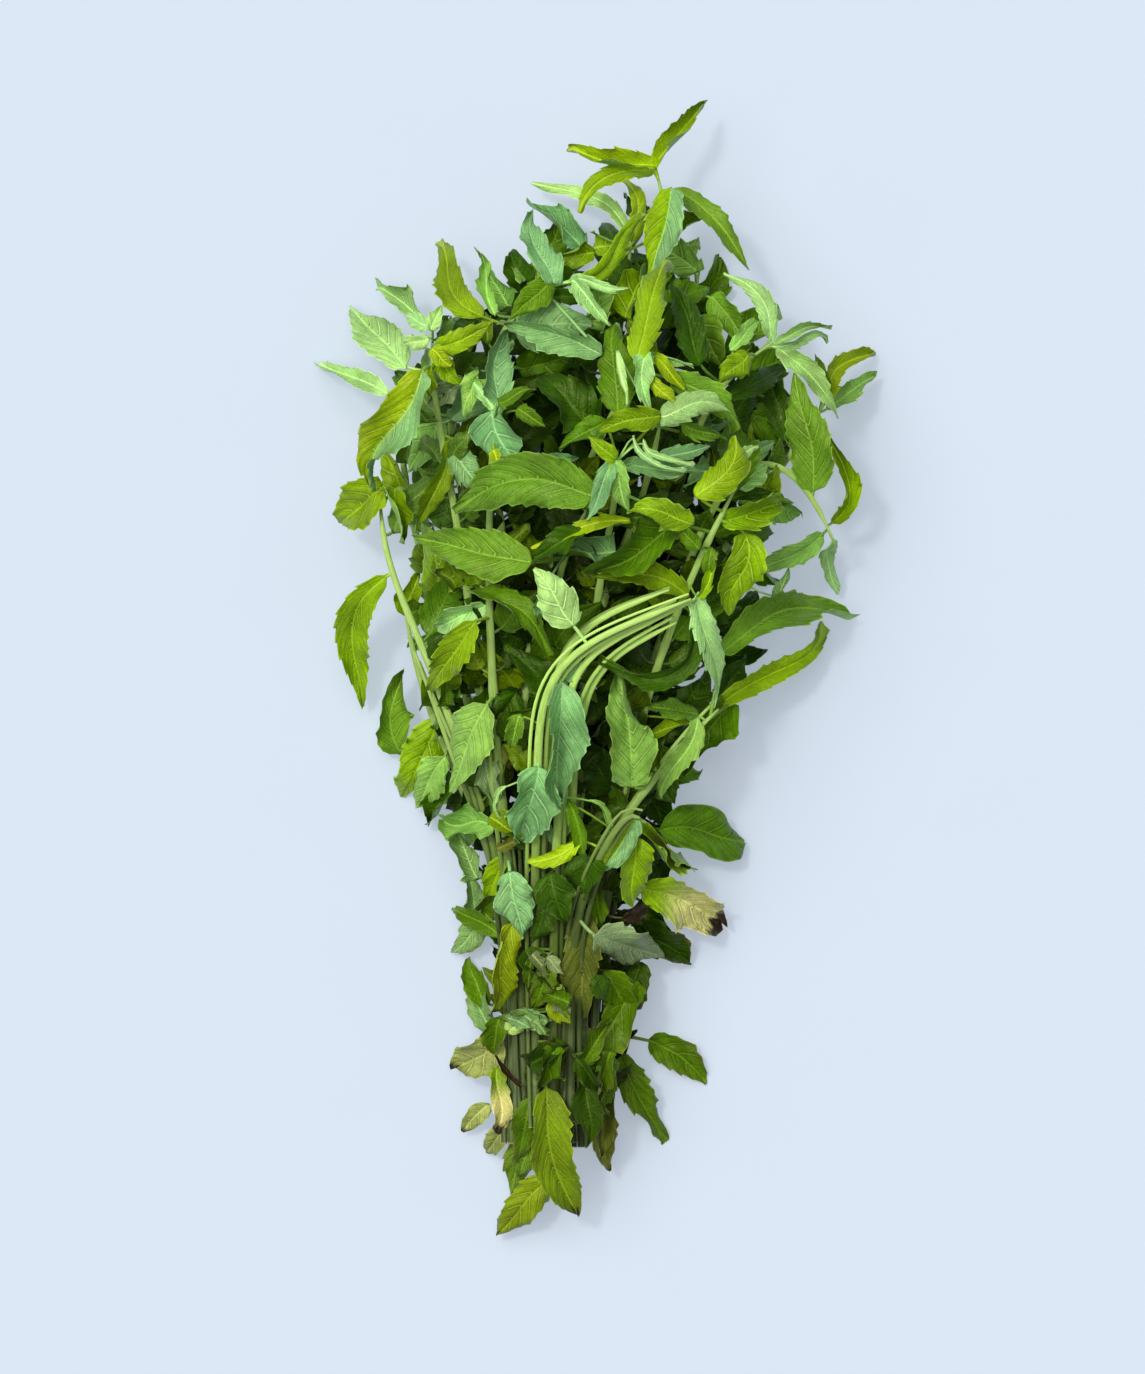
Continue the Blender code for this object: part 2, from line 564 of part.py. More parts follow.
def closed_sheet(points, faces, thickness):
    """A closed solid made of the surface moved half the thickness to each side."""
    normals = surface_normals(points, faces) * thickness / 2
    count = len(points)
    edges = {}
    for a, b, c in faces:
        for edge in ((a, b), (b, c), (c, a)):
            edges[edge] = edges.get(edge[::-1]) is None
            if not edges[edge]:
                edges[edge[::-1]] = False
    rim = [edge for edge, single in edges.items() if single]
    walls = []
    for a, b in rim:
        walls += [(a, a + count, b), (b, a + count, b + count)]
    solid = np.vstack((faces, faces[:, ::-1] + count, walls))
    return np.vstack((points + normals, points - normals)), solid


def tube(points, radii, sides):
    """A closed tube round a line, with points and triangles, turned so that a flat is below."""
    tangent = np.gradient(points, axis=0)
    tangent /= np.linalg.norm(tangent, axis=1, keepdims=True)
    side = np.cross(tangent, UP)
    long = np.linalg.norm(side, axis=1, keepdims=True)
    side = np.where(long > 0.1, side / np.maximum(long, 1e-6), np.array((1.0, 0.0, 0.0)))
    up = np.cross(side, tangent)
    angles = 2 * math.pi * (np.arange(sides) + 0.5) / sides
    ring = (side[:, None, :] * np.cos(angles)[None, :, None]
            + up[:, None, :] * np.sin(angles)[None, :, None])
    rings = points[:, None, :] + ring * np.asarray(radii)[:, None, None]
    verts = rings.reshape(-1, 3)
    faces = []
    for i in range(len(points) - 1):
        for j in range(sides):
            a, b = i * sides + j, i * sides + (j + 1) % sides
            faces += [(a, b, a + sides), (b, b + sides, a + sides)]
    end = (len(points) - 1) * sides
    for j in range(1, sides - 1):
        faces += [(0, j + 1, j), (end, end + j, end + j + 1)]
    return verts, np.array(faces)


class Guard:
    """A placed piece with clearance round it, to keep the pieces of other stems off it."""

    def __init__(self, stem, verts, faces, leaf=False):
        self.stem = stem
        self.leaf = leaf
        self.low = verts.min(axis=0)
        self.high = verts.max(axis=0)
        self.tree = BVHTree.FromPolygons(verts.tolist(), faces.tolist())

    def meets(self, other):
        if (self.low > other.high).any() or (other.low > self.high).any():
            return False
        return bool(self.tree.overlap(other.tree))

    def crosses(self, other, free):
        """Whether another leaf of the same stem crosses this one with a face that is free."""
        if (self.low > other.high).any() or (other.low > self.high).any():
            return False
        return any(free[face] for _, face in self.tree.overlap(other.tree))


def is_clear(guards, stem, candidate):
    return not any(g.stem != stem and g.meets(candidate) for g in guards)


def leaf_shape(rng, width):
    """Fold, roll, twist, cup, wave and phase of a leaf, drawn within what mint leaves do."""
    fold = rng.uniform(*FOLD)
    roll = rng.uniform(*ROLL)
    twist = rng.uniform(*TWIST)
    cup = rng.uniform(*CUP) * width
    wave = rng.uniform(*WAVE) * width
    return [fold, roll, twist, cup, wave, rng.uniform(0, 1)]


def lay_spine(points, layer, lift):
    """The midrib of a leaf seen from above, laid at its layer's height and arched."""
    flat = smooth_line([(x, y, 0.0) for x, y in points])
    along = np.linspace(0, 1, len(flat))
    length = np.linalg.norm(np.diff(flat, axis=0), axis=1).sum()
    share = LAYERS[layer]
    base = pile_at(*points[0]) * share
    tip = pile_at(*points[-1]) * share
    tip = min(tip, base + STEEPEST * length)
    arch = ARCH * length * 4 * along * (1 - along)
    flat[:, 2] = base + (tip - base) * along + arch + lift
    return flat


def teeth_on(width, length, index):
    """Teeth on each side of a leaf's edge: the large seen leaves have the most."""
    if width < SMALL_LEAF or index >= FIRST_PAIR:
        return 1
    return 3 if length > LONG_LEAF and width > WIDE_LEAF else 2


def stem_root(line, gaps, rng):
    """A point in the middle of a stem, at a place of its own near the leaf."""
    at = min(max(int(gaps.argmin()), 1), len(line) - 2)
    step = rng.uniform(-ROOT_SPREAD, ROOT_SPREAD) / STEM_STEP
    return line[at] + (line[at + 1] - line[at - 1]) / 2 * step


def add_leaf(plan, guards, lines, stems, index, spines, width, reach):
    """Takes the first of a leaf's places that is clear of the other stems.

    stems are the stems that it may grow on. A name in their place means a loose leaf.
    """
    loose = isinstance(stems, str)
    for laid, turn in spines:
        rng = np.random.default_rng(SEED * LEAF_SEEDS + index)
        length = np.linalg.norm(np.diff(laid, axis=0), axis=1).sum()
        shape = leaf_shape(rng, width)
        shape[1] += turn
        full = width / (math.cos(shape[0]) * math.cos(shape[1]))
        teeth = teeth_on(width, length, index)
        gaps = {k: np.linalg.norm(lines[k] - laid[0], axis=1) for k in (() if loose else stems)}
        near = sorted((k for k in gaps if gaps[k].min() < reach), key=lambda k: gaps[k].min())
        for owner in (stems,) if loose else near[:NEAREST_STEMS]:
            spine, start = laid, 0.0
            if not loose and gaps[owner].min() > LEAST_GAP:
                spine = np.vstack((stem_root(lines[owner], gaps[owner], rng), laid))
                start = gaps[owner].min() / (gaps[owner].min() + length)
            points, faces = coarse_blade(spine, start, full, shape, teeth)
            points[:, 2] = np.maximum(points[:, 2], BLADE_THICKNESS / 2 + FLOOR_GAP)
            verts, solid = closed_sheet(points, faces, BLADE_THICKNESS)
            blade = Guard(owner, verts, solid)
            if not is_clear(guards, owner, blade):
                continue
            away = np.linalg.norm(verts[solid].mean(axis=1) - spine[0], axis=1)
            free = away > start * length / (1 - start) + ROOT_REACH
            if any(g.leaf and g.stem == owner and g.crosses(blade, free) for g in guards):
                continue
            thick = BLADE_THICKNESS + 2 * CLEARANCE
            guards.append(Guard(owner, *closed_sheet(points, faces, thick), leaf=True))
            plan.append((owner, points, faces))
            return True
    return False


def plan_bunch():
    """Places every leaf: the seen ones from the lowest layer up, then pairs that fill the sides."""
    lines = stem_lines()
    guards = []
    for k, line in enumerate(lines):
        kept = cad_points(line)
        guards.append(Guard(k, *tube(kept, stem_radii(len(kept)) + CLEARANCE, 4)))
    everywhere = range(len(lines))
    seen = [(layer, width, points, everywhere) for layer, width, *points in LEAVES]
    seen += [(layer, width, points, name) for name, layer, width, points in LOOSE_LEAVES]
    plan = []
    for index, (layer, width, points, stems) in sorted(enumerate(seen), key=lambda e: e[1][0]):
        laid = [lay_spine(points, layer, lift) for lift in LIFTS]
        spines = [(spine, turn) for spine in laid for turn in TURNS]
        if not add_leaf(plan, guards, lines, stems, index, spines, width, STALK_REACH):
            print("no room for leaf", index, points)
    shown = len(plan)
    fill_sides(plan, guards, lines)
    print("leaves", shown, "and in the sides", len(plan) - shown)
    return lines, plan


def fill_sides(plan, guards, lines):
    """Pairs of leaves along each stem, kept under the seen leaves and inside the outline."""
    for k, line in enumerate(lines):
        rng = np.random.default_rng(SEED * PAIR_SEEDS + k)
        steps = int(PAIR_SPACING / STEM_STEP)
        start = int(np.argmax(line[:, 1] > PAIR_START_Y)) + int(rng.integers(0, steps))
        for rank, at in enumerate(range(start, len(line) - 1, steps)):
            tangent = line[at + 1] - line[at]
            tangent /= np.linalg.norm(tangent)
            side = np.cross(tangent, UP)
            side /= np.linalg.norm(side) + 1e-9
            up = np.cross(side, tangent)
            quarter = rank % 2 * math.pi / 2 + rng.uniform(-PAIR_TURN, PAIR_TURN)
            for half, turn in enumerate((0, math.pi)):
                length = rng.uniform(*PAIR_LENGTH)
                width = rng.uniform(*PAIR_WIDTH)
                spines = []
                for swing in PAIR_SWINGS:
                    angle = quarter + turn + swing
                    out = side * math.cos(angle) + up * math.sin(angle)
                    ahead = (out * PAIR_OUT + tangent * PAIR_AHEAD) * length
                    middle = line[at] + ahead * 0.5
                    tip = line[at] + ahead - UP * PAIR_DROOP * length
                    tip[2] = max(tip[2], TIP_FLOOR)
                    middle[2] = max(middle[2], MIDDLE_FLOOR)
                    if is_inside(middle) and is_inside(tip):
                        spines.append((smooth_line((line[at] + out * PAIR_ROOT, middle, tip)), 0.0))
                index = FIRST_PAIR + k * PAIRS_PER_STEM + rank * 2 + half
                add_leaf(plan, guards, lines, (k,), index, spines, width, PAIR_REACH)


def is_inside(point):
    """Whether a point lies under the seen leaves and inside the bunch's outline."""
    x, y, z = point
    middle = np.interp(y, PILE[:, 0], PILE[:, 1])
    half = np.interp(y, PILE[:, 0], PILE[:, 2]) * np.interp(y, INSIDE_Y, INSIDE_SHARE)
    return z < PAIR_CEILING * pile_at(x, y) and abs(x - middle) < half


def to_metres(points):
    """Places in millimetres on the table, as metres round the middle of the bunch."""
    return ((np.asarray(points) - (*CENTRE, 0.0)) * MM).tolist()


def leafy_material(name, colour):
    material = bpy.data.materials.new(name)
    material.use_nodes = True
    shader = material.node_tree.nodes["Principled BSDF"]
    shader.inputs["Base Color"].default_value = (*colour, 1.0)
    shader.inputs["Roughness"].default_value = ROUGHNESS
    shader.inputs["Metallic"].default_value = 0.0
    return material


def blade_object(name, points, faces, collection):
    """One leaf: its open surface, given its thickness by Solidify."""
    mesh = bpy.data.meshes.new(name)
    mesh.from_pydata(to_metres(points), [], faces.tolist())
    blade = bpy.data.objects.new(name, mesh)
    collection.objects.link(blade)
    skin = blade.modifiers.new("Thickness", "SOLIDIFY")
    skin.thickness = BLADE_THICKNESS * MM
    skin.offset = 0.0
    return blade


def stem_object(name, line, collection):
    """A square stem: a curve with four sides, made a mesh with its caps welded."""
    kept = cad_points(line)
    curve = bpy.data.curves.new(name, "CURVE")
    curve.dimensions = "3D"
    curve.twist_mode = "Z_UP"
    curve.bevel_depth = STEM_RADIUS * MM
    curve.bevel_resolution = 0
    curve.use_fill_caps = True
    spline = curve.splines.new("POLY")
    spline.points.add(len(kept) - 1)
    radii = stem_radii(len(kept)) / STEM_RADIUS
    for point, place, radius in zip(spline.points, to_metres(kept), radii):
        point.co = (*place, 1.0)
        point.radius = radius
        point.tilt = math.pi / 4
    guide = bpy.data.objects.new(name + "_line", curve)
    collection.objects.link(guide)
    seen = bpy.context.evaluated_depsgraph_get()
    mesh = bpy.data.meshes.new_from_object(guide.evaluated_get(seen))
    bpy.data.objects.remove(guide)
    bpy.data.curves.remove(curve)
    shape = bmesh.new()
    shape.from_mesh(mesh)
    bmesh.ops.remove_doubles(shape, verts=shape.verts, dist=WELD * MM)
    bmesh.ops.recalc_face_normals(shape, faces=shape.faces)
    bmesh.ops.triangulate(shape, faces=shape.faces)
    shape.to_mesh(mesh)
    shape.free()
    mesh.name = name
    stem = bpy.data.objects.new(name, mesh)
    collection.objects.link(stem)
    return stem


def is_closed(shape):
    return all(len(edge.link_faces) == 2 for edge in shape.edges)


def one_body(mesh):
    """Keeps the largest body of a mesh and merges slivers: scraps and sealed hollows go.

    Says whether the mesh is then one closed body.
    """
    for distance in SLIVERS:
        shape = bmesh.new()
        shape.from_mesh(mesh)
        bmesh.ops.remove_doubles(shape, verts=shape.verts, dist=distance * MM)
        scraps = scrap_faces(shape)
        bmesh.ops.delete(shape, geom=scraps, context="FACES")
        if is_closed(shape) and len(scraps) < LEAST_LEAF_FACES:
            shape.to_mesh(mesh)
            shape.free()
            return True
        shape.free()
    return False


def scrap_faces(shape):
    """The faces of every body but the largest, where only shared edges join faces."""
    left = set(shape.faces)
    bodies = []
    while left:
        stack = [left.pop()]
        body = list(stack)
        while stack:
            for edge in stack.pop().edges:
                for face in edge.link_faces:
                    if face in left:
                        left.remove(face)
                        body.append(face)
                        stack.append(face)
        bodies.append(body)
    bodies.sort(key=len)
    return [face for body in bodies[:-1] for face in body]


def fuse(body, others, scene):
    """Joins a stem with its leaves by one union, and removes those."""
    union = body.modifiers.new("Leaves", "BOOLEAN")
    union.operation = "UNION"
    union.operand_type = "COLLECTION"
    union.collection = others
    for solver in ("MANIFOLD", "EXACT"):
        union.solver = solver
        seen = bpy.context.evaluated_depsgraph_get()
        mesh = bpy.data.meshes.new_from_object(body.evaluated_get(seen))
        if one_body(mesh):
            break
    else:
        raise RuntimeError(body.name + " isn't one closed body")
    body.modifiers.remove(union)
    mesh.name = body.name
    body.data = mesh
    for item in list(others.objects):
        bpy.data.objects.remove(item)
    scene.children.unlink(others)
    bpy.data.collections.remove(others)


def main():
    for item in list(bpy.data.objects):
        bpy.data.objects.remove(item)
    bunch = bpy.data.collections.new("Bunch of mint")
    scene = bpy.context.scene.collection
    scene.children.link(bunch)
    lines, plan = plan_bunch()
    for k, (name, *_) in enumerate(STEMS):
        stem = stem_object(name, lines[k], bunch)
        leaves = bpy.data.collections.new(name + "_leaves")
        scene.children.link(leaves)
        for n, (owner, points, faces) in enumerate(plan):
            if owner == k:
                blade_object(f"{name}_blade_{n}", points, faces, leaves)
        if leaves.objects:
            fuse(stem, leaves, scene)
        stem.data.materials.clear()
        stem.data.materials.append(leafy_material(name, STEM_COLOUR))
    for (name, *_), colour in zip(LOOSE_LEAVES, LOOSE_COLOURS):
        for owner, points, faces in plan:
            if owner == name:
                blade = blade_object(name, points, faces, bunch)
                blade.data.materials.append(leafy_material(name, colour))


main()
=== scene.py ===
"""Looks of a bunch of mint: fine leaves with teeth, veins and quilting, stems, table and light.

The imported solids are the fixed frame. Every leafy stem and loose leaf is replaced by a finer piece
laid by the same plan as its solid. Lengths in the plan are in millimetres, seen from above: X to
the right, Y towards the leafy head and Z up from the table.
"""

import math
from collections import namedtuple
from functools import lru_cache

import bpy
import numpy as np
from bpy.props import FloatProperty, FloatVectorProperty, IntProperty, PointerProperty
from mathutils.bvhtree import BVHTree
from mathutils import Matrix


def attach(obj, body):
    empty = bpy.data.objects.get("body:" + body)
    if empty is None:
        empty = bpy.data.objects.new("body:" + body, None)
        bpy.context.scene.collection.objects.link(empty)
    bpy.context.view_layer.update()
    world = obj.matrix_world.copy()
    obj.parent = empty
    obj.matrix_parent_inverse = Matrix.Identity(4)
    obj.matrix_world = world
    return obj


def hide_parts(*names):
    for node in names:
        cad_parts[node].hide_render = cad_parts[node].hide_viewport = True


bl_info = {
    "name": "Bunch of Mint",
    "version": (1, 0, 0),
    "blender": (4, 5, 0),
    "location": "View3D > Sidebar > Mint",
    "description": "Leaves, stems, table and light of a bunch of mint",
    "category": "Object",
}

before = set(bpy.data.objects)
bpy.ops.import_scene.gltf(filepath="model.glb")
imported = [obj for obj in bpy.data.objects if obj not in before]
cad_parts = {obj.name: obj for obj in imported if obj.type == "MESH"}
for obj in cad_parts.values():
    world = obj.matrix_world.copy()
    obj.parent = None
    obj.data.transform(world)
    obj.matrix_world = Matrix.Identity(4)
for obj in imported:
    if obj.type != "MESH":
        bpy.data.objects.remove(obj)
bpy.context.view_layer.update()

MM = 0.001
UP = np.array((0.0, 0.0, 1.0))

# The plan's driving dimensions, in millimetres, the same as the solids'
CENTRE = (-0.5, 0.0)
BLADE_THICKNESS = 0.7
CLEARANCE = 0.32
STEM_RADIUS = 1.45
FLAT_HEIGHT = STEM_RADIUS * math.cos(math.pi / 4)
TIP_RADIUS = 0.9
STALK_HALF_WIDTH = 0.8
LEAST_STALK = 10.0
STEM_STEP = 4.0
BEND_TOLERANCE = 0.35
STEM_GAP = 0.75
LONG_LEAF = 27.0
WIDE_LEAF = 9.9
SMALL_LEAF = 5.6
ROOT_REACH = 7.0
ROOT_SPREAD = 1.5
LEAST_GAP = 0.5
FLOOR_GAP = 0.02
STALK_REACH = 34.0
PAIR_REACH = 6.0
NEAREST_STEMS = 5

# How the stems are pushed apart: rounds, share of each overlap, and how far each round smooths them
PUSH_ROUNDS = 60
PUSH_SHARE = 1.2
SMOOTHING = 0.1

# Where along a stem it starts to grow slimmer
SLIM_FROM = 0.6

# A leaf's outline: how fast it widens at its base and narrows to its tip, where its blade starts,
# and the step over which its direction is read
BASE_POWER = 0.62
TIP_POWER = 0.95
BLADE_FROM = 0.04
TANGENT_STEP = 0.6

# The solid leaves' edge teeth: where they start and how far they reach along a leaf, the length of
# a tooth's step, and how far its tip and its notch are out, as shares
FIRST_TOOTH = 0.17
TOOTH_SPAN = 0.66
TOOTH_STEP = 0.3
TOOTH_TIP = 1.06
TOOTH_NOTCH = 0.8

# What mint leaves do: angles in radians, then cup and wave as shares of the width
FOLD = (0.12, 0.5)
ROLL = (-0.3, 0.3)
TWIST = (-0.5, 0.5)
CUP = (0.0, 0.09)
WAVE = (0.04, 0.1)
TWIST_CENTRE = 0.4
WAVES = 1.6
WAVE_SHIFT = 0.25
ARCH = 0.09
STEEPEST = 0.25
TURNS = (0.0, 0.3, -0.3)

# The pile: Y, middle X, half width and height of its upper side
PILE = np.array((
    (-165, -12, 14, 8),
    (-130, -10, 19, 26),
    (-100, -9, 21, 32),
    (-60, -8, 26, 42),
    (-30, -8, 38, 54),
    (0, -3, 50, 64),
    (40, 0, 63, 72),
    (80, 0, 68, 70),
    (110, 0, 54, 56),
    (135, 2, 40, 38),
    (165, 8, 24, 20),
), dtype=float)
PILE_SPREAD = 1.2
LEAST_HEIGHT = 7.0

# Share of the pile's height at which a leaf of each layer lies, the lowest first
LAYERS = (0.0, 0.3, 0.52, 0.72, 0.9, 1.04)

# Rows of stems in the tied end: height above the table and the place of each stem across it
ROWS = (
    (FLAT_HEIGHT, (-20.0, -14.7, -9.3, -4.0)),
    (5.7, (-23.0, -17.5, -12.0, -6.5, -1.0)),
    (10.0, (-24.0, -18.0, -12.0, -6.0, 0.0)),
    (14.3, (-23.5, -17.5, -12.0, -6.5, -0.5)),
    (18.6, (-20.5, -14.8, -9.2, -3.5)),
    (22.9, (-17.0, -12.0, -7.0)),
)
FOOT_Y = -128.0
FOOT_SPREAD = 7.0
TIED_Y = -92.0

# Each stem: name, its row and place in the tied end, and the points it passes above it
STEMS = (
    ("stem_floor_left", 0, 0, ((-27, -50, 3), (-38, 0, 5), (-52, 40, 8), (-56, 78, 12))),
    ("stem_floor", 0, 1, ((-14, -50, FLAT_HEIGHT), (-12, 0, FLAT_HEIGHT), (-12, 45, FLAT_HEIGHT),
                          (-14, 75, 4), (-17, 100, 9), (-18, 118, 12))),
    ("stem_floor_middle", 0, 2, ((-4, -50, 3), (8, 0, 4), (20, 50, 6), (26, 90, 9), (29, 112, 12))),
    ("stem_floor_right", 0, 3, ((3, -50, 3), (20, 0, 5), (40, 40, 8), (52, 62, 12), (55, 78, 15))),
    ("stem_lower_left", 1, 0, ((-31, -45, 12), (-44, -20, 14), (-52, 5, 16), (-53.5, 16, 17))),
    ("stem_inner_left", 1, 1, ((-21, -20, 10), (-30, 25, 16), (-41, 60, 22), (-40, 92, 24),
                               (-34, 101, 24))),
    ("stem_crown", 1, 2, ((-6, -20, 12), (-2, 30, 14), (4, 80, 18), (9, 108, 20), (10, 122, 22))),
    ("stem_top", 1, 3, ((2, -20, 16), (8, 30, 22), (14, 80, 28), (20, 118, 28), (21, 135.5, 27),
                        (16.5, 141, 27))),
    ("stem_right", 1, 4, ((12, -20, 10), (30, 25, 18), (48, 52, 24), (60, 66, 26), (64, 75, 27))),
    ("stem_left", 2, 0, ((-31, -20, 22), (-37, 30, 34), (-43, 65, 43), (-47, 84, 46),
                         (-45.5, 96, 44))),
    ("stem_upper_left", 2, 1, ((-21, -20, 19), (-25, 30, 29), (-31, 75, 38), (-27, 99, 43),
                               (-12, 108, 46))),
    ("stem_big_leaf", 2, 2, ((-13, -20, 27), (-13, 10, 38), (-9, 35, 50), (-1, 47, 59))),
    ("stem_right_upper", 2, 3, ((2, -20, 20), (12, 20, 28), (24, 55, 36), (34, 83, 43),
                                (43, 88, 45), (49, 91, 44))),
    ("stem_outer_right", 2, 4, ((10, -20, 22), (22, 20, 30), (35, 52, 37), (44, 64, 38),
                                (54, 59.5, 36), (61, 50, 33), (65, 42, 31), (66.5, 36, 30))),
    ("stem_outer_left", 3, 0, ((-27, -55, 22), (-32, -38, 26), (-41, -14, 29), (-46, 1, 30),
                               (-52, 15, 30), (-58.5, 28, 29), (-62, 39, 28), (-60.5, 49, 28))),
    ("stem_middle_upper", 3, 1, ((-20, -28, 32), (-20, 0, 34), (-10, 40, 38), (4, 70, 48),
                                 (12, 86, 60))),
    ("stem_middle", 3, 2, ((-6, -20, 28), (2, 20, 36), (14, 50, 48), (18, 70, 66))),
    ("stem_star", 3, 3, ((-4, -20, 34), (0, 18, 46), (5, 46, 58), (8, 64, 64), (5.5, 58, 71))),
    ("stem_fan", 3, 4, ((6, -45, 26), (12, -15, 34), (20, 10, 48), (25, 23, 56), (30, 33, 61),
                        (33, 42, 63), (39, 51, 60))),
    ("stem_middle_left", 4, 0, ((-27, -30, 36), (-29, 0, 44), (-30, 35, 50), (-28, 73, 60))),
    ("stem_bent_inner", 4, 1, ((-15, -45, 34), (-13, -20, 42), (-12, 0, 52), (-7, 12, 62),
                               (0, 15, 66), (8, 18, 67), (20, 22, 68))),
    ("stem_bent_lower", 4, 2, ((-8, -45, 34), (-5, -20, 44), (-4, -3, 52), (0, 4, 56),
                               (6, 6.5, 58), (15, 9, 60), (22, 13, 61))),
    ("stem_side_right", 4, 3, ((-1, -60, 30), (5, -42, 36), (15, -33, 40), (24, -20, 42),
                               (29, -12, 42), (34, -11, 40))),
    ("stem_bent_outer", 5, 0, ((-17, -50, 36), (-16, -28, 46), (-16.5, -10, 56), (-14, 0, 62),
                               (-8, 6, 66), (0, 10, 68), (10, 13, 69), (26, 19.5, 70))),
    ("stem_bent_middle", 5, 1, ((-11, -45, 40), (-9, -20, 50), (-9, 0, 58), (-3, 7, 62),
                                (5, 9.5, 64), (15, 12, 65), (23, 17, 66))),
    ("stem_side_low", 5, 2, ((-5, -62, 36), (3, -48, 43), (9, -37, 49), (11, -32, 51),
                             (12, -41, 54))),
)

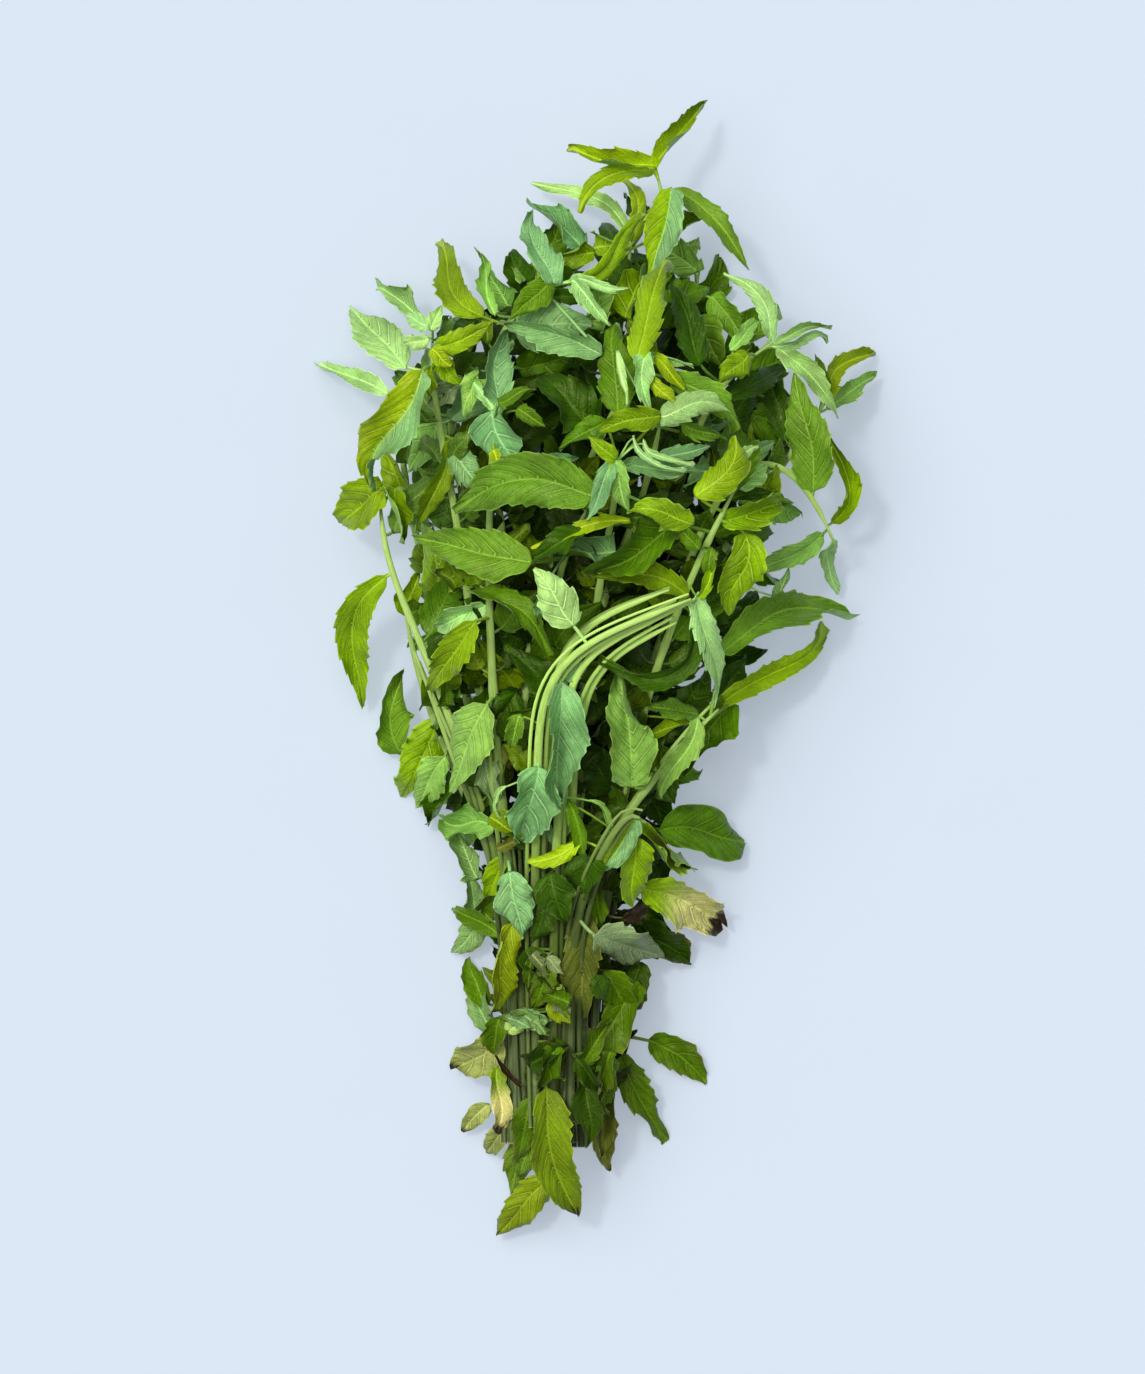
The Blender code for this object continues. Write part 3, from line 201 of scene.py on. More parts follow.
# Each leaf that is seen from above: tone, layer, width, and the points from its base to its tip
LEAVES = (
    # The top sprig and the crown
    ("lime", 4, 6.5, (16.5, 141), (23, 149), (30.5, 159)),
    ("lime", 4, 7.5, (16, 141), (4, 142), (-8.5, 147)),
    ("olive", 3, 6.5, (16, 140), (8, 140), (0, 136), (-5.5, 128)),
    ("lime", 2, 4.5, (10.5, 122), (11, 131), (8, 139)),
    ("pale", 1, 4.5, (10, 122), (2, 132), (-18.5, 137)),
    ("split", 4, 11, (21, 135), (18, 122), (14, 107)),
    ("mid", 3, 6.5, (22, 135), (30, 129), (37, 122), (43, 111.5)),
    ("olive", 5, 8.5, (11, 85.5), (15, 101), (21, 117.5)),
    ("olive", 3, 5.5, (-7, 108.3), (3, 114), (14.5, 127.5)),
    ("blue", 4, 9, (-12, 107.5), (-16, 117), (-18, 128)),
    ("blue", 1, 9, (-3, 118), (-18.5, 131)),
    ("olive", 2, 7, (0, 117), (-13, 115)),
    ("olive", 2, 6, (-1, 118), (9, 119)),
    ("pale", 4, 6, (-6, 108), (4, 95)),
    ("green", 4, 8.5, (-13, 108), (-24, 97)),
    ("blue", 3, 7, (-13, 107), (-12, 95)),
    ("light", 1, 8, (-14, 104), (-24, 115)),
    # This leaf lies low in shade and has a lighter tone than its own, as painted light
    ("light", 1, 9, (20, 113), (29, 122)),
    ("olive", 1, 7, (20, 123), (33, 129)),
    ("green", 0, 11, (27, 98), (35, 117)),
    ("light", 1, 10, (28, 112), (16, 122)),
    ("dark", 0, 9, (12, 100), (4, 120)),
    ("light", 1, 8, (-24, 101), (-30, 112)),
    # The right shoulder
    ("pale", 3, 6, (49, 92), (48.5, 101), (44, 107.5), (35, 111.5)),
    ("pale", 3, 4, (49, 91), (57, 94.5), (65.5, 95.5)),
    ("pale", 3, 7.5, (50, 90.5), (57, 84), (67.5, 70.5)),
    ("olive", 4, 8, (42.5, 88), (34, 79)),
    ("light", 4, 5, (37, 88.5), (46, 97)),
    ("mid", 3, 13, (60.5, 49), (59, 66), (55, 83)),
    ("lime", 2, 6, (64.5, 75), (68, 84), (79, 90)),
    ("light", 2, 5.5, (64.5, 73), (70, 77), (79, 83)),
    ("mid", 2, 5, (64, 79), (62, 88)),
    ("olive", 2, 6, (66, 41), (71, 47), (70, 56), (64, 67)),
    ("pale", 3, 5, (66.5, 36), (64.5, 32), (68.5, 20.5)),
    ("light", 2, 7, (64, 38.5), (53, 31), (40, 26)),
    ("mid", 3, 10.5, (35, 5), (52, 15.5), (73, 15)),
    ("olive", 2, 7, (33, -11), (45, -5), (56, 3), (67.5, 14)),
    ("olive", 4, 11, (41, 39), (41, 28), (37, 15)),
    ("olive", 4, 10.5, (34, 41), (53.5, 46.5)),
    ("olive", 5, 9, (27, 47.5), (35, 55), (38.5, 65.5)),
    ("blue", 4, 6.5, (6.5, 57), (18, 54), (31, 55)),
    ("pale", 3, 6, (40, 50), (47, 57)),
    ("green", 1, 12, (42, 72), (62, 66)),
    ("green", 1, 11, (40, 80), (56, 90)),
    ("mid", 1, 11, (38, 88), (52, 101)),
    ("green", 0, 11, (35, 33), (52, 24)),
    ("dark", 0, 11, (30, 2), (47, 6)),
    ("light", 1, 11, (44, 50), (58, 43)),
    # The middle of the head
    ("blue", 4, 9.5, (2, 87), (-10, 93), (-26.5, 97)),
    ("blue", 4, 10, (-27, 75), (-28, 85), (-25, 94.5)),
    ("blue", 4, 14, (-29, 72), (-26, 63), (-20, 54)),
    ("blue", 3, 8.5, (-40, 61), (-31, 49)),
    ("olive", 2, 8, (-35, 72), (-40, 58)),
    ("blue", 3, 9.5, (-22, 56), (-5, 59)),
    ("dark", 3, 15, (0, 66), (-7, 74), (-16, 82)),
    ("green", 2, 13, (-22, 84), (-6, 88)),
    ("green", 4, 10.5, (6, 70), (6, 83), (3.5, 97)),
    ("pale", 5, 6.5, (13.5, 87), (13, 79), (15, 71)),
    ("pale", 4, 5, (13.5, 87), (27, 84)),
    ("mid", 4, 9, (20, 81), (31, 76), (41.5, 67)),
    ("pale", 5, 8, (18, 70), (27, 73), (38, 71)),
    ("olive", 5, 7.5, (18, 70), (9, 68), (-1, 64)),
    ("green", 4, 7, (3, 69), (-11, 61)),
    ("dark", 3, 9, (29, 84), (26, 96), (20, 108)),
    ("mid", 2, 12, (28, 99), (35, 84)),
    ("mid", 2, 9, (32, 105), (42, 92)),
    ("olive", 2, 11, (8, 98), (14, 112)),
    ("light", 2, 11, (-4, 96), (4, 108)),
    ("light", 5, 6, (5.5, 57.5), (8.5, 43)),
    ("blue", 5, 5.5, (4.5, 57), (-3, 40.5)),
    ("mid", 5, 15, (0, 47.5), (-18, 52), (-41, 44.5)),
    ("mid", 4, 13, (-17, 29.5), (-33, 32), (-51, 37)),
    ("dark", 4, 8, (-3, 38.5), (-18, 30)),
    ("olive", 5, 8.5, (27, 40), (18, 44), (8, 44)),
    ("green", 4, 12.5, (22, 40.5), (12, 32), (-1, 27)),
    ("blue", 3, 9, (6, 33), (-8, 31.5)),
    ("olive", 4, 7.5, (26, 20), (12, 27), (-3, 26)),
    ("green", 5, 5, (28.5, 33), (22, 41)),
    ("pale", 5, 8, (28, 19.5), (31, 6), (33, -11)),
    ("dark", 4, 6, (26, 17), (24, 4), (14, -2), (0, 2.5)),
    ("pale", 5, 11, (-6, 12), (-11, 20), (-18, 28)),
    ("blue", 4, 6, (-12, 27), (-16, 12)),
    ("green", 4, 8, (-36, 22), (-21, 17), (-12.5, 3)),
    ("pale", 3, 9.5, (-30, 18), (-46, 11)),
    ("olive", 4, 10, (-33, 14), (-39, 4), (-48, -7)),
    # The left shoulder
    ("olive", 3, 10, (-58, 27), (-68, 19), (-71, 7), (-65.5, -11)),
    ("olive", 3, 13.5, (-59, 51), (-72.5, 41)),
    ("split_lime", 5, 14.5, (-48, 84), (-56, 67), (-64, 49)),
    ("pale", 2, 6, (-58, 77), (-69, 81), (-80, 87.5)),
    ("pale", 2, 11.5, (-53, 84), (-61, 93), (-70, 104)),
    ("pale", 1, 6, (-48, 97), (-62, 109)),
    ("olive", 4, 7, (-45, 89), (-38, 91), (-28.5, 97)),
    ("olive", 4, 6.5, (-44, 88), (-38, 79)),
    ("olive", 3, 9, (-31, 98), (-40, 107), (-45.5, 122.5)),
    ("light", 4, 5, (-28, 98), (-31, 107), (-33, 117)),
    ("blue", 2, 10, (-29, 98), (-43, 92)),
    ("olive", 3, 6.5, (-40, 65), (-44, 52), (-51, 37)),
    ("olive", 3, 9, (-56, 51), (-54, 35)),
    ("light", 2, 11, (-43, 70), (-53, 55)),
    ("grey", 3, 7, (-36, 81), (-47, 74)),
    ("mid", 1, 10, (-55, -24), (-57, -12), (-54, 0)),
    ("olive", 1, 11, (-44, -13), (-54, -38)),
    ("light", 2, 9, (-42, -24), (-51, -39)),
    ("light", 4, 14, (-30, -9), (-36, -20), (-41, -34)),
    ("light", 1, 8.5, (-40, 13), (-53, 6)),
    ("green", 0, 12, (-38, 40), (-52, 30)),
    ("light", 0, 12, (-42, 60), (-60, 66)),
    # The lower middle
    ("blue", 4, 16, (-16, -27), (-18, -37), (-20.5, -49)),
    ("blue", 4, 13.5, (-9.5, -3), (-11.5, -18), (-10, -38)),
    ("light", 4, 14.5, (10, -33), (9, -18), (5.5, -0.5)),
    ("split", 4, 8, (11.5, -41), (7, -49), (-0.5, -57)),
    ("olive", 4, 9, (11, -46), (10.5, -65)),
    ("olive", 4, 8.5, (12, -41.5), (18, -50), (25, -55)),
    ("olive", 3, 8, (6, -46), (-3, -53)),
    ("lime", 4, 5.5, (-4, -47), (-11, -52), (-20.5, -54)),
    ("olive", 4, 6, (-25, -39), (-22, -48)),
    ("light", 3, 9, (-28, -44), (-43, -42)),
    ("dark", 3, 9, (-22, -6), (-29, -18)),
    ("dark", 2, 10, (-16, -2), (-14, -22)),
    ("dark", 2, 9, (-26, -14), (-20, -30)),
    ("grey", 3, 9, (-31, -22), (-29, -40)),
    ("mid", 3, 7, (29, -12.5), (12, -10)),
    ("light", 4, 7, (28.5, -12.5), (24, -25), (18, -37.5)),
    ("green", 2, 11, (38, -9), (24, -28)),
    ("mid", 2, 6, (20, -30), (29, -28.5)),
    ("smooth", 2, 13, (17, -45), (30, -46), (43, -48)),
    ("dark", 2, 10, (3, -22), (-4, -40)),
    ("green", 2, 11, (14, -20), (22, -38)),
    ("light", 2, 10, (-34, -40), (-41, -50)),
    # The tied end, with its older leaves
    ("dark", 1, 12, (11, -69), (18, -76), (26.5, -83)),
    ("grey", 4, 13, (-1, -74), (9, -77), (19.5, -81)),
    ("dull", 3, 10, (-2, -66), (-5, -98)),
    ("blue", 4, 11, (-24, -56), (-20.5, -75)),
    ("olive", 3, 8, (-25, -51.5), (-31, -64)),
    ("olive", 2, 11, (-13, -52), (-24, -64)),
    ("green", 2, 8, (-24, -62), (-33, -68)),
    ("green", 2, 5.5, (-26, -75), (-42, -66)),
    ("blue", 1, 8.5, (-30, -69), (-41.5, -80)),
    ("blue", 1, 7.5, (-33, -72), (-36, -56)),
    ("pale", 2, 8, (-33, -59), (-40, -44)),
    ("green", 1, 7.5, (-31, -95), (-37, -81)),
    ("blue", 1, 7.5, (-29, -102), (-37, -90)),
    ("dark", 3, 9, (-20, -78), (-10, -90)),
    ("green", 4, 7, (-12, -82), (-18, -95)),
    ("blue", 4, 6, (-13, -98), (-26, -97)),
    ("dark", 2, 9, (13, -82), (6.5, -99)),
    ("green", 3, 10, (12, -87), (4, -99), (-4, -111)),
    ("green", 0, 10, (15, -104), (24, -109), (31.5, -117)),
    ("green", 1, 9, (6, -107), (12, -120), (21, -134)),
    ("green", 2, 8, (-1, -109), (2, -125)),
    ("dull", 2, 7, (1, -121), (4, -141)),
    ("mid", 2, 10, (-17, -124), (-24, -148)),
    ("dark", 3, 8, (-8, -105), (-19, -110)),
    ("wilted", 1, 6.5, (-25, -127), (-31, -137)),
    ("green", 2, 10, (-8, -60), (4, -72)),
    ("dark", 2, 9, (4, -60), (12, -62)),
)

# Small leaves at the shoot tips, and dark ones that close the gaps, laid after the others and in
# the same terms
SMALL_LEAVES = (
    ("pale", 4, 3.5, (-6, 108.5), (9.5, 106)),
    ("pale", 4, 3.5, (50, 90.5), (58, 92.5), (66.5, 92)),
    ("pale", 2, 4, (50, 19), (54, 29)),
    ("blue", 4, 5, (16, 58), (32, 62.5)),
    ("green", 5, 4, (-27, 74), (-16.5, 77.5)),
    ("green", 5, 4.5, (-22, 72), (-14, 67)),
    ("pale", 4, 4, (-29, 73), (-35, 81)),
    ("lime", 5, 4, (15, 80), (22, 73)),
    ("lime", 4, 4.5, (17, 86), (25, 77)),
    ("mid", 4, 5.5, (23, 69), (36, 64)),
    ("olive", 5, 5, (5, 58), (-2, 64)),
    ("lime", 4, 4, (10, 41), (-4, 39), (-18, 34)),
    ("green", 5, 4, (32, 34), (30, 24)),
    ("pale", 5, 5, (-45.5, 95), (-54, 99)),
    ("pale", 5, 5, (-46, 92), (-54, 90)),
    ("pale", 5, 4.5, (-46, 94), (-43, 101)),
    ("lime", 5, 5, (-46, 89), (-40, 84)),
    ("lime", 4, 5.5, (-47, 84), (-46, 76)),
    ("blue", 4, 5, (-9, -3), (-2, 3)),
    ("mid", 4, 4.5, (11, -32), (14, -25)),
    ("green", 4, 5, (-8, -36), (-2, -54)),
    ("dull", 3, 5, (-30, -18), (-24, -28)),
    ("olive", 3, 5, (28, -14), (13, -18.5)),
    ("dark", 4, 10, (-19, -111), (-8, -105)),
    ("green", 3, 6, (-15, -107), (-19, -117)),
    ("pale", 4, 5, (-25, -102), (-19, -95)),
    ("blue", 4, 5, (-21, -96), (-13, -101)),
    ("green", 4, 6.5, (-4, -111), (4, -98)),
    ("green", 4, 8, (3, -110), (2, -124)),
    ("green", 4, 5, (2, -106), (5, -114)),
    ("mid", 3, 7, (-17, -132), (-22, -143)),
    ("green", 5, 6, (-7, -93), (-15, -90)),
    ("olive", 5, 6, (-13, -92), (-7, -99)),
    ("grey", 4, 5.5, (-18, -79), (-13, -85)),
    ("dark", 4, 12, (-13, -56), (-9, -70)),
    ("dark", 4, 12, (-2, -51), (-4, -64)),
    ("green", 4, 3.5, (-18, -80), (-19, -90)),
    ("dead", 5, 2, (-21, -117), (-28, -108)),
    ("dead", 4, 5, (7, -70), (15, -66)),
    ("green", 3, 8, (-27, -97), (-29, -108)),
    ("dark", 4, 7, (0, -85), (3, -93)),
    ("dark", 4, 9, (-2, -113), (-2, -133)),
    ("dull", 3, 8, (4, -116), (1, -137)),
    ("green", 4, 8, (-18, -119), (-22, -138)),
    ("dark", 4, 7, (-6, -108), (2, -118)),
    ("pale", 5, 2.5, (5.5, 88), (7, 80), (9.5, 73)),
    ("pale", 5, 1.8, (10, 65), (11, 60), (17, 56.5), (26, 55)),
    ("pale", 5, 1.8, (13, 64), (14, 60), (20, 58), (28, 57)),
    ("lime", 5, 4, (-28.5, 61), (-26, 55)),
    ("olive", 5, 3.5, (28, 19), (31, 25), (33, 33)),
    ("pale", 5, 3, (38, 58), (45, 62)),
    ("mid", 4, 5, (-21, -12), (-24, -22)),
    ("pale", 5, 2, (-24.5, -32), (-27.5, -34), (-27.5, -42)),
    ("light", 4, 2, (-2, -36), (2, -39), (5, -48)),
    ("olive", 5, 5, (-30, -41), (-23, -45)),
    ("olive", 1, 7, (-53.5, 15.5), (-50, 27)),
    ("green", 1, 7, (-53.5, 15), (-45, 19)),
    ("dull", 4, 3.5, (-28, -50), (-21, -47)),
    ("blue", 3, 4, (-15, -42), (-12, -50)),
    ("light", 4, 6, (-33, 82), (-38, 70)),
    ("grey", 3, 6, (-46, 84), (-39, 76)),
    ("grey", 4, 4, (-14, -80), (-9, -85)),
    ("dark", 4, 5, (-16, -84), (-10, -90)),
    ("light", 4, 3.5, (-12, -88), (-8, -92)),
    ("grey", 5, 4, (-12, -92), (-7, -97)),
    ("blue", 5, 5, (-25, -97), (-18, -100)),
    ("blue", 5, 4, (-18, -98), (-13, -102)),
    ("green", 4, 7, (4, -106), (1, -121)),
    ("green", 4, 9, (-11, -104), (-16, -117)),
    ("wilted", 2, 6, (-30, -122), (-37, -130)),
    ("green", 3, 8, (2, -84), (10, -96)),
    ("dull", 3, 6, (-8, -118), (-10, -136)),
    ("dark", 3, 7, (-12, -62), (-18, -76)),
    ("green", 3, 7, (0, -58), (2, -72)),
    ("dark", 1, 10, (-8, 84), (0, 100)),
    ("dark", 1, 9, (0, 92), (8, 104)),
    ("dark", 1, 9, (28, 76), (34, 92)),
    ("dark", 1, 9, (8, 68), (16, 82)),
    ("dark", 1, 12, (-20, 32), (-13, 48)),
    ("dark", 1, 9, (-20, 106), (-24, 118)),
    ("green", 1, 10, (-16, 112), (-10, 127)),
    ("dark", 1, 10, (35, 64), (43, 78)),
    ("dark", 1, 12, (34, 10), (46, 22)),
    ("green", 1, 11, (24, -12), (32, 2)),
    ("dark", 1, 9, (34, -8), (42, 4)),
    ("dark", 1, 9, (14, -32), (20, -46)),
    ("dark", 1, 8, (14, -50), (20, -62)),
    ("dark", 1, 8, (13, -64), (20, -76)),
    ("green", 1, 9, (-40, -32), (-47, -43)),
    ("dark", 1, 8, (14, 124), (8, 134)),
    ("olive", 1, 9, (-54, 48), (-60, 62)),
)

# Wilted leaves that lie loose in the bunch: name, tone, layer, width and points from base to tip
LOOSE_LEAVES = (
    ("leaf_wilted_right", "cream", 3, 12, ((12, -61), (24, -64), (36, -72))),
    ("leaf_yellow_spotted", "yellow", 4, 9, ((-23, -70), (-27, -84), (-27, -98))),
    ("leaf_long_end", "ending", 5, 13, ((-14, -116), (-12, -133), (-5, -153))),
    ("leaf_pale_end", "ending", 3, 10, ((-11, -142), (-19, -150), (-28, -159))),
    ("leaf_wilted_left", "wilted", 3, 12, ((-26, -104), (-39, -112))),
    ("leaf_cream_curled", "cream", 4, 6, ((-28, -111), (-26, -122), (-28, -131))),
)

# Numbers that the random draws start from, and the index of the first leaf of each kind
SEED = 11
LEAF_SEEDS = 1000
BLADE_SEEDS = 5000
TONE_SEEDS = 9000
STEM_SEEDS = 300
FIRST_PAIR = 2000
FIRST_SMALL = 4000
FIRST_INNER = 6000
FIRST_INNERMOST = 9000

# Leaf pairs that fill the sides and the gaps, in turn: spacing along a stem, lengths, widths, where
# they start, index of the first, indices a stem, seed, and tones
Growth = namedtuple("Growth", "spacing lengths widths start_y first per_stem seed tones")
SIDE_PAIRS = Growth(48.0, (26.0, 40.0), (10.0, 14.0), -40.0, FIRST_PAIR, 60, 77,
                    ("green", "dark", "olive", "green", "blue"))
INNER_PAIRS = (
    Growth(16.0, (17.0, 28.0), (7.0, 11.0), -62.0, FIRST_INNER, 100, 91,
           ("green", "dark", "olive", "dark")),
    Growth(12.0, (10.0, 17.0), (4.5, 7.5), -122.0, FIRST_INNERMOST, 120, 57,
           ("dark", "olive", "green", "dark")),
)

# How far the pairs point out and ahead and droop, and the lowest that their middles and tips come
PAIR_CEILING = 0.8
PAIR_DROOP = 0.2
PAIR_OUT = 0.78
PAIR_AHEAD = 0.6
PAIR_ROOT = 3.0
PAIR_TURN = 0.4
MIDDLE_FLOOR = 1.5
TIP_FLOOR = 1.0
PAIR_SWINGS = (0, 0.4, -0.4, 0.8, -0.8)

# Share of the pile's width that the leaf pairs keep to, at places along Y: the crown is open
INSIDE_Y = (-20.0, 10.0, 60.0, 85.0, 118.0, 128.0)
INSIDE_SHARE = (1.0, 0.78, 0.8, 0.95, 0.65, 0.0)

# Heights tried in turn for a seen leaf, from its layer's own
LIFTS = (0, 1.5, -1.5, 3, -3, 4.5, -4.5, 6, -6, 8, -8, 10, 12, 14)

Leaf = namedtuple("Leaf", "owner spine start width shape tone index")


def pile_at(x, y):
    """Height of the pile's upper side: an ellipse across the bunch, from the rows of PILE."""
    middle = np.interp(y, PILE[:, 0], PILE[:, 1])
    half = np.interp(y, PILE[:, 0], PILE[:, 2]) * PILE_SPREAD
    height = np.interp(y, PILE[:, 0], PILE[:, 3])
    across = np.minimum(1.0, np.abs(x - middle) / half)
    return np.maximum(LEAST_HEIGHT, height * np.sqrt(1.0 - across ** 2))


def smooth_line(points, per_span=10):
    """A Catmull-Rom curve through the points."""
    points = np.asarray(points, dtype=float)
    if len(points) < 3:
        return points[0] + np.linspace(0, 1, per_span + 1)[:, None] * (points[-1] - points[0])
    padded = np.vstack((2 * points[0] - points[1], points, 2 * points[-1] - points[-2]))
    t = np.linspace(0, 1, per_span, endpoint=False)[:, None]
    spans = []
    for a, b, c, d in zip(padded, padded[1:], padded[2:], padded[3:]):
        spans.append(0.5 * (2 * b + (c - a) * t + (2 * a - 5 * b + 4 * c - d) * t ** 2
                            + (3 * b - a - 3 * c + d) * t ** 3))
    spans.append(points[-1][None, :])
    return np.vstack(spans)


def distances(line):
    """How far along a line each of its points is."""
    return np.concatenate(((0.0,), np.cumsum(np.linalg.norm(np.diff(line, axis=0), axis=1))))


def line_length(line):
    """The sum of the straight steps from point to point."""
    return np.linalg.norm(np.diff(line, axis=0), axis=1).sum()


def even_steps(line, step):
    """The line read again at even distances along it."""
    lengths = distances(line)
    at = np.linspace(0, lengths[-1], max(3, int(round(lengths[-1] / step)) + 1))
    return np.stack([np.interp(at, lengths, line[:, k]) for k in range(3)], axis=1)


def stem_lines():
    """The middle line of every stem, pushed apart until no two stems touch."""
    rng = np.random.default_rng(SEED)
    lines = []
    for _, row, place, route in STEMS:
        z, places = ROWS[row]
        x = places[place]
        foot = FOOT_Y + rng.uniform(-FOOT_SPREAD, FOOT_SPREAD)
        points = ((x, foot, z), (x, TIED_Y, z)) + route
        lines.append(even_steps(smooth_line(points), STEM_STEP))
    owner = np.concatenate([np.full(len(line), k) for k, line in enumerate(lines)])
    pinned = np.array([STEMS[k][0] == "stem_floor" for k in owner])
    points = np.vstack(lines)
    first = np.concatenate(((True,), owner[1:] != owner[:-1]))
    last = np.concatenate((owner[1:] != owner[:-1], (True,)))
    inner = ~(first | last)
    least = 2 * STEM_RADIUS + STEM_GAP
    for _ in range(PUSH_ROUNDS):
        apart = points[:, None, :] - points[None, :, :]
        distance = np.linalg.norm(apart, axis=2) + 1e-9
        near = (distance < least) & (owner[:, None] != owner[None, :])
        overlap = (near * (least - distance) * 0.5)[..., None]
        push = (apart / distance[..., None] * overlap).sum(axis=1)
        counts = np.maximum(1, near.sum(axis=1))[:, None]
        push = push / counts * PUSH_SHARE
        push[pinned] = 0
        points = points + push
        relaxed = points.copy()
        relaxed[1:-1] = points[1:-1] * (1 - 2 * SMOOTHING) + (points[:-2] + points[2:]) * SMOOTHING
        points = np.where((inner & ~pinned)[:, None], relaxed, points)
        points[:, 2] = np.maximum(points[:, 2], FLAT_HEIGHT)
    return [points[owner == k] for k in range(len(STEMS))]


def cad_points(line):
    """The points of a stem's line that its solid keeps: those where it leaves a straight run."""
    kept = [0]
    while kept[-1] < len(line) - 1:
        start = kept[-1]
        end = start + 1
        while end < len(line) - 1:
            run = line[end + 1] - line[start]
            run /= np.linalg.norm(run)
            between = line[start:end + 1] - line[start]
            off = between - (between @ run)[:, None] * run
            if np.linalg.norm(off, axis=1).max() > BEND_TOLERANCE:
                break
            end += 1
        kept.append(end)
    return line[kept]


def stem_radii(count):
    """Radius at each point: even for most of the stem, slimmer near its tip."""
    along = np.linspace(0, 1, count)
    slim = np.clip((along - SLIM_FROM) / (1 - SLIM_FROM), 0, 1)
    return STEM_RADIUS + (TIP_RADIUS - STEM_RADIUS) * slim


def blade_outline(u):
    """Half width of a leaf at u from base to tip: round below, drawn out to a point above."""
    peak = BASE_POWER / (BASE_POWER + TIP_POWER)
    most = peak ** BASE_POWER * (1 - peak) ** TIP_POWER
    u = np.clip(u, 0, 1)
    return u ** BASE_POWER * (1 - u) ** TIP_POWER / most


def read_line(line, lengths, at):
    """Points at the given distances along a line."""
    return np.stack([np.interp(at, lengths, line[:, k]) for k in range(3)], axis=-1)


def blade_points(spine, start, width, shape, u, v):
    """Points of a leaf at u along its blade and v across it, from -1 to 1.

    The midrib follows the spine, whose first share, the start, is the stalk: u is below 0 there.
    Each half leans up from the midrib by the fold angle, the whole blade turns about it by the
    roll, the edges droop by the cup and swing up and down by the wave.
    """
    fold, roll, twist, cup, wave, phase = shape
    lengths = distances(spine)
    at = np.clip(start + (1 - start) * u, 0, 1) * lengths[-1]
    middle = read_line(spine, lengths, at)
    ahead = read_line(spine, lengths, at + TANGENT_STEP)
    tangent = ahead - read_line(spine, lengths, at - TANGENT_STEP)
    tangent /= np.linalg.norm(tangent, axis=-1, keepdims=True)
    level = spine[-1] - spine[0]
    across = np.array((level[1], -level[0], 0.0)) / (math.hypot(level[0], level[1]) + 1e-9)
    side = across - tangent * (tangent @ across)[..., None]
    side /= np.linalg.norm(side, axis=-1, keepdims=True)
    normal = np.cross(side, tangent)
    angle = (roll + twist * (np.maximum(u, 0) - TWIST_CENTRE))[..., None]
    side, normal = (side * np.cos(angle) + normal * np.sin(angle),
                    normal * np.cos(angle) - side * np.sin(angle))
    open_half = width / 2 * blade_outline(u)
    half = (np.where(u > BLADE_FROM, open_half, STALK_HALF_WIDTH) * v)[..., None]
    spread = (blade_outline(u) * v ** 2)[..., None]
    turns = WAVES * u + phase + WAVE_SHIFT * np.sign(v)
    swing = wave * np.sin(2 * math.pi * turns)[..., None]
    rise = np.abs(half) * math.sin(fold) + (swing - cup) * spread
    return middle + side * half * math.cos(fold) + normal * rise


def coarse_blade(spine, start, width, shape, teeth):
    """Points and triangles of a leaf's open surface, with forward-pointing teeth on each side.

    A leaf near its stem starts as a point inside it. One farther away starts as a flat stalk.
    """
    tips = FIRST_TOOTH + TOOTH_SPAN * np.arange(teeth) / teeth
    notches = tips + TOOTH_STEP / teeth
    edge_u = np.column_stack((tips, notches)).ravel()
    edge_v = np.tile((TOOTH_TIP, TOOTH_NOTCH), teeth)
    rib_u = (tips + notches) / 2
    root_u = -start / (1 - start)
    u = np.concatenate(((root_u,), rib_u, (1.0,), edge_u, edge_u))
    v = np.concatenate(((0.0,), np.zeros(teeth), (0.0,), edge_v, -edge_v))
    apex = teeth + 1
    faces = []
    for first, turn in ((apex + 1, False), (apex + 1 + 2 * teeth, True)):
        half = [(0, first, 1)]
        for k in range(teeth):
            tip, notch, rib = first + 2 * k, first + 2 * k + 1, k + 1
            half.append((tip, notch, rib))
            if k + 1 < teeth:
                half.append((notch, notch + 1, rib + 1))
                half.append((notch, rib + 1, rib))
            else:
                half.append((notch, apex, rib))
        faces += [face[::-1] for face in half] if turn else half
    if has_stalk(spine, start):
        right, left = apex + 1, apex + 1 + 2 * teeth
        base = len(u)
        u = np.concatenate((u, (0.0, 0.0, root_u)))
        v = np.concatenate((v, (1.0, -1.0, -1.0)))
        v[0] = 1.0
        faces = [face for face in faces if 0 not in face]
        faces += [(base, right, 1), (1, left, base + 1), (base, 1, base + 1)]
        faces += [(0, base, base + 1), (0, base + 1, base + 2)]
    points = blade_points(spine, start, width, shape, u, v)
    return points, np.array(faces)[:, ::-1]


def has_stalk(spine, start):
    """Whether the stalk's share of a spine is long enough to be made as a stalk."""
    return start * line_length(spine) > LEAST_STALK


def surface_normals(points, faces):
    """The normal at each point of an open surface, from the faces round it."""
    a, b, c = (points[faces[:, k]] for k in range(3))
    across = np.cross(b - a, c - a)
    normals = np.zeros_like(points)
    for k in range(3):
        np.add.at(normals, faces[:, k], across)
    return normals / (np.linalg.norm(normals, axis=1, keepdims=True) + 1e-9)


def closed_sheet(points, faces, thickness):
    """A closed solid made of the surface moved half the thickness to each side."""
    normals = surface_normals(points, faces) * thickness / 2
    count = len(points)
    edges = {}
    for a, b, c in faces:
        for edge in ((a, b), (b, c), (c, a)):
            edges[edge] = edges.get(edge[::-1]) is None
            if not edges[edge]:
                edges[edge[::-1]] = False
    rim = [edge for edge, single in edges.items() if single]
    walls = []
    for a, b in rim:
        walls += [(a, a + count, b), (b, a + count, b + count)]
    solid = np.vstack((faces, faces[:, ::-1] + count, walls))
    return np.vstack((points + normals, points - normals)), solid


